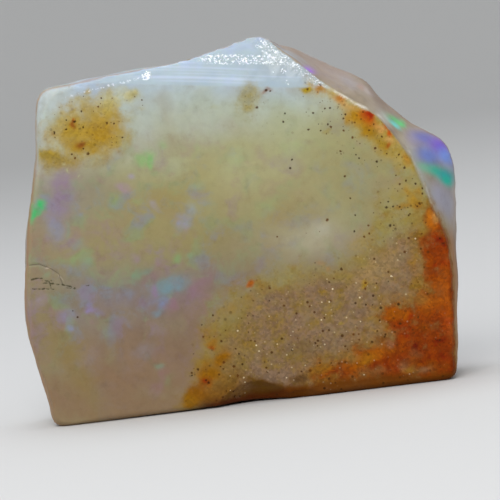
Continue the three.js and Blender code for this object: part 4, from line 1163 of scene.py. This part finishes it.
# %% How each border frays
ragged = add("MapRange", {0: pattern["fray"], 1: 0.2, 2: 0.8, 3: -1.0, 4: 1.0})


def frayed(name, low, high, amount):
    """The mask of a zone: its kept distance, moved by the fraying noise, then softened."""
    wandering = add("Math", {0: ragged, 1: amount, 2: kept[name]}, **TIMES_PLUS)
    return add("MapRange", {0: wandering, 1: low, 2: high}, **EASE)


# Where each border begins and ends, and how far it frays, in mm. The stains' own cover frays in the same way.
border = frayed("border_mm", -1.0, 0.8, 0.9)
ochre = frayed("ochre_mm", -0.9, 0.7, 0.6)
sand = frayed("sand_mm", -1.0, 0.8, 0.9)
halo = frayed("rust_mm", -1.8, 0.1, 0.9)
rust = frayed("rust_mm", -0.65, 0.55, 0.8)
stain = frayed("stain_cover", 0.02, 1.0, 0.20)
print("borders fray by up to a millimetre")

# %% Sand grains, olive film, ochre and rust
GRAIN_SIZE = 0.17

grain_cells = add("TexVoronoi", {"Vector": mm, "Scale": 1 / GRAIN_SIZE}, out=1)
grain_shade = add("MapRange", {0: add("SeparateColor", {0: grain_cells}), 3: 0.77, 4: 1.19})
sand_body = stops(add("ValToRGB", {0: pattern["sand"]}), {
    0.30: "#7b634c", 0.42: "#846b54", 0.50: "#85694b", 0.58: "#836940", 0.68: "#886a2c",
})
film_body = stops(add("ValToRGB", {0: pattern["film"]}), {
    0.32: "#9a8c44", 0.48: "#968434", 0.60: "#927624", 0.72: "#906a14",
})
ochre_body = stops(add("ValToRGB", {0: pattern["film"]}), {
    0.30: "#b29c50", 0.45: "#b0963e", 0.58: "#a88a2c", 0.72: "#a27e1e",
})
rust_body = stops(add("ValToRGB", {0: pattern["rust"]}), {
    0.30: "#742400", 0.42: "#7c2c00", 0.52: "#843400", 0.62: "#8c3c00", 0.74: "#964800",
})
print("sand grains of", GRAIN_SIZE, "mm")

# %% The finishes laid over each other
film_cover = add("MapRange", {0: pattern["film"], 1: 0.32, 2: 0.64, 3: 0.45, 4: 0.85}, **EASE)
film_cover = add("Math", {0: film_cover, 1: border}, **TIMES)
ochre_cover = add("MapRange", {0: pattern["film"], 1: 0.32, 2: 0.60, 3: 0.50, 4: 0.94}, **EASE)
ochre_cover = add("Math", {0: ochre_cover, 1: ochre}, **TIMES)
halo = add("Math", {0: halo, 1: 0.7}, **TIMES)
stain_shade = add("MapRange", {0: pattern["fray"], 1: 0.25, 2: 0.75, 3: 0.74, 4: 1.08})
stain_body = add("Mix", {0: 1.0, 6: kept["stain_colour"], 7: stain_shade}, **SHADE)
colour = body
for share, finish in (
    (film_cover, film_body), (ochre_cover, ochre_body), (sand, sand_body), (halo, linear("#8a6014")),
    (rust, rust_body), (stain, stain_body),
):
    colour = add("Mix", {0: share, 6: colour, 7: finish}, **MIX)
crust_all = add("Math", {0: sand, 1: rust}, **LARGER)
tint = add("Math", {0: stain, 1: ochre_cover}, **LARGER)
tint = add("Math", {0: tint, 1: film_cover}, **LARGER)
grainy = add("Math", {0: tint, 1: 0.6}, **TIMES)
grainy = add("Math", {0: grainy, 1: crust_all}, **LARGER)
colour = add("Mix", {0: grainy, 6: colour, 7: grain_shade}, **SHADE)
print("crust is laid over the opal")

# %% Sand-filled pits on the walls and the back, the chip in the foot with its painted shade, and the painted shade along the foot
pit = add("MapRange", {0: pattern["pits"], 1: 0.635, 2: 0.70, 4: 0.8}, **EASE)
pit = add("Math", {0: pit, 1: kept["not_face"]}, **TIMES)
pit_body = add("Mix", {0: 0.5, 6: film_body, 7: sand_body}, **MIX)
# The chip gets its olive brown with painted shade, and the foot a band of painted shade in orange brown.
chip_colour_and_shade = add("Math", {0: kept["chip_shade_cover"], 1: 0.87}, **TIMES)
foot_shade_edge = add("Math", {0: ragged, 1: 0.15, 2: kept["foot_shade_cover"]}, **TIMES_PLUS)
foot_shade_edge = add("MapRange", {0: foot_shade_edge, 2: 0.8, 4: 0.9})
to_right = add("MapRange", {0: across, 1: 0.5, 2: 3.5}, **EASE)
foot_shade_colour = add("Mix", {0: to_right, 6: linear("#542000"), 7: linear("#643402")}, **MIX)
for share, finish in ((pit, pit_body), (chip_colour_and_shade, linear("#603c00")), (foot_shade_edge, foot_shade_colour)):
    colour = add("Mix", {0: share, 6: colour, 7: finish}, **MIX)
print("pits, chip and foot are made")


# %% Round spots: dark ironstone specks, finer pepper, and painted glints
def spots(spacing, rarity, largest, blur, strength, channel=0):
    """Round spots in the cells of a pattern with this spacing in mm, and each cell's random numbers.

    Where one of those numbers is above the rarity it gives the cell a spot, and its radius as a share of the
    spacing, up to the largest. The blur is where its edge begins and ends.
    """
    cells = add("TexVoronoi", {"Vector": mm, "Scale": 1 / spacing}).node
    numbers = add("SeparateColor", {0: cells.outputs[1]}).node.outputs
    size = add("MapRange", {0: numbers[channel], 1: rarity, 4: largest})
    gap = add("Math", {0: size, 1: cells.outputs[0]}, **MINUS)
    return add("MapRange", {0: gap, 1: blur[0], 2: blur[1], 4: strength}, **EASE), numbers


speck, _ = spots(spacing=0.45, rarity=0.25, largest=0.27, blur=(-0.06, 0.08), strength=0.85)
dusting, _ = spots(spacing=0.34, rarity=0.35, largest=0.25, blur=(-0.06, 0.10), strength=0.75)
# The glints are painted highlights: pale dots laid into the colour where a clear grain would catch the light.
painted_glint, glint_numbers = spots(
    spacing=0.44, rarity=0.40, largest=0.16, blur=(-0.03, 0.02), strength=1.0, channel=1)
print("specks, pepper and glints are spread")

# %% Where the specks lie, and the grains that were placed one by one
sand_alone = add("Math", {0: rust, 1: -0.8, 2: sand}, use_clamp=True, **TIMES_PLUS)
speck_zone = sand_alone
for zone_cover, share in ((film_cover, 0.75), (ochre, 0.25), (kept["pepper"], 0.5)):
    speck_zone = add("Math", {0: zone_cover, 1: share, 2: speck_zone}, use_clamp=True, **TIMES_PLUS)
speck = add("Math", {0: speck, 1: speck_zone}, **TIMES)
placed = 0.0
for number in range(GRAIN_SETS):
    to_grain = add("VectorMath", {
        0: pattern["jitter"].node.outputs[1], 1: (1.0, 1.0, 0), 2: kept[f"grain_{number}"]}, **TIMES_PLUS)
    to_grain = add("VectorMath", {0: to_grain, 1: (0.5, 0.5, 0)}, **MINUS)
    to_grain = add("VectorMath", {0: to_grain}, out=1, operation="LENGTH")
    spot = add("MapRange", {0: to_grain, 1: 0.95, 2: 0.35, 4: 0.9}, **EASE)
    placed = add("Math", {0: spot, 1: placed}, **LARGER)
dusting = add("Math", {0: dusting, 1: kept["pepper"]}, **TIMES)
dark = add("Math", {0: speck, 1: placed}, **LARGER)
iron = stops(add("ValToRGB", {0: pattern["film"]}), {0.40: "#321a02", 0.60: "#5e3408"})
print("sets of placed grains:", GRAIN_SETS)

# %% The painted glints, some brighter than others, kept off the foot and the chip
glint_light = add("Math", {0: glint_numbers[2], 1: 2.2}, operation="POWER")
glint_light = add("MapRange", {0: glint_light, 3: 0.15, 4: 0.95})
off_foot = add("Math", {0: 1.0, 1: foot_shade_edge}, **MINUS)
off_foot = add("Math", {0: off_foot, 1: chip_colour_and_shade}, use_clamp=True, **MINUS)
for limit in (sand_alone, glint_light, off_foot):
    painted_glint = add("Math", {0: painted_glint, 1: limit}, **TIMES)
for share, finish in ((dusting, linear("#4c3810")), (dark, iron), (painted_glint, linear("#ecdcb4"))):
    colour = add("Mix", {0: share, 6: colour, 7: finish}, **MIX)
print("specks and glints are made")

# %% The sawn band: its pale blue and its pale streaks, partly painted sheen of the light from above, and white chips painted as glints
CHIP_SIZE = 0.105

# The band's pale blue is partly the milky opal and partly painted sheen of the light from above.
band = stops(add("ValToRGB", {0: pattern["sawn band"]}), {
    0.32: "#a6b8c4", 0.46: "#aebec6", 0.56: "#b0c2c8", 0.70: "#b2c2d8",
})
clean = add("Math", {0: 1.0, 1: tint}, **MINUS)
band_cover = add("Math", {0: kept["on_saw"], 1: 0.8}, **TIMES)
band_cover = add("Math", {0: band_cover, 1: clean}, **TIMES)
# The pale streaks are painted sheen along the saw lines.
streak_sheen = add("Math", {0: kept["streaks"], 1: 0.85}, **TIMES)
# Along the worn crest a pale line is painted, partly wear and partly a painted highlight.
crest_wear_and_highlight = add("MapRange", {0: pattern["wobble"], 1: 0.40, 2: 0.58, 3: 0.30}, **EASE)
crest_wear_and_highlight = add("Math", {0: crest_wear_and_highlight, 1: kept["crest_line"]}, **TIMES)
# The chips are painted white as glints, the highlights that their tiny facets would catch.
chip_cells = add("TexVoronoi", {"Vector": mm, "Scale": 1 / CHIP_SIZE}, out=1)
chip_pick = add("Math", {0: add("SeparateColor", {0: chip_cells}), 1: kept["chips"]}, **TIMES)
chip = add("MapRange", {0: chip_pick, 1: 0.45, 2: 0.80, 4: 0.95})
for share, finish in (
    (band_cover, band), (streak_sheen, linear("#ccd6ee")), (crest_wear_and_highlight, linear("#dcd4c4")),
    (chip, linear("#f4f8ff")),
):
    colour = add("Mix", {0: share, 6: colour, 7: finish}, **MIX)
print("sawn band is made")

# %% The crack, and the root-like scratches, whose lines break off here and there
crack = add("MapRange", {0: kept["crack_mm"], 1: 0.055, 2: 0.015, 4: 0.7}, **EASE)
scratch = add("Math", {0: pattern["broken line"], 1: -0.20, 2: kept["scratch_mm"]}, **TIMES_PLUS)
scratch = add("MapRange", {0: scratch, 1: -0.035, 2: -0.085, 4: 0.9}, **EASE)
for share, finish in ((crack, linear("#61564a")), (scratch, linear("#4a4630"))):
    colour = add("Mix", {0: share, 6: colour, 7: finish}, **MIX)
print("crack is made")

# %% Shader sockets
# Opal's own gloss is a thin clear layer, which the bevel and the fresh chips keep and the crust has lost.
OPAL_IOR = 1.45

rough = add("MapRange", {0: crust_all, 3: 0.42, 4: 0.72})
opaque = add("Math", {0: tint, 1: kept["bevel"]}, **LARGER)
opaque = add("Math", {0: opaque, 1: 0.7}, **TIMES)
opaque = add("Math", {0: opaque, 1: crust_all}, **LARGER)
opaque = add("Math", {0: opaque, 1: dark}, **LARGER)
softness = add("MapRange", {0: opaque, 3: 0.6, 4: 0.05})
gloss = add("Math", {0: kept["bevel"], 1: 0.5}, **TIMES)
gloss = add("Math", {0: gloss, 1: chip}, **LARGER)
gloss = add("Math", {0: kept["on_saw"], 1: 0.15, 2: gloss}, use_clamp=True, **TIMES_PLUS)
bump_height = add("Mix", {0: crust_all, 2: 0.5, 3: pattern["grain bump"]}, data_type="FLOAT")
bump = add("Bump", {"Height": bump_height, "Strength": 0.6, "Distance": 0.02 * MM})
fill(shader, {
    "Base Color": colour, "Roughness": rough, "Normal": bump, "IOR": OPAL_IOR, "Specular IOR Level": 0.1,
    "Coat Weight": gloss, "Coat Roughness": 0.14, "Coat IOR": OPAL_IOR,
    "Subsurface Weight": softness, "Subsurface Radius": (1.0, 0.75, 0.5), "Subsurface Scale": 0.7 * MM,
})
stone.data.materials.append(opal)
print("nodes in the material:", len(tree.nodes))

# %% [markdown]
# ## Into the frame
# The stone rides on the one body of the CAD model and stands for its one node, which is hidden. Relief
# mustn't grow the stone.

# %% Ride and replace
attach(stone, "root")
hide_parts("opal")
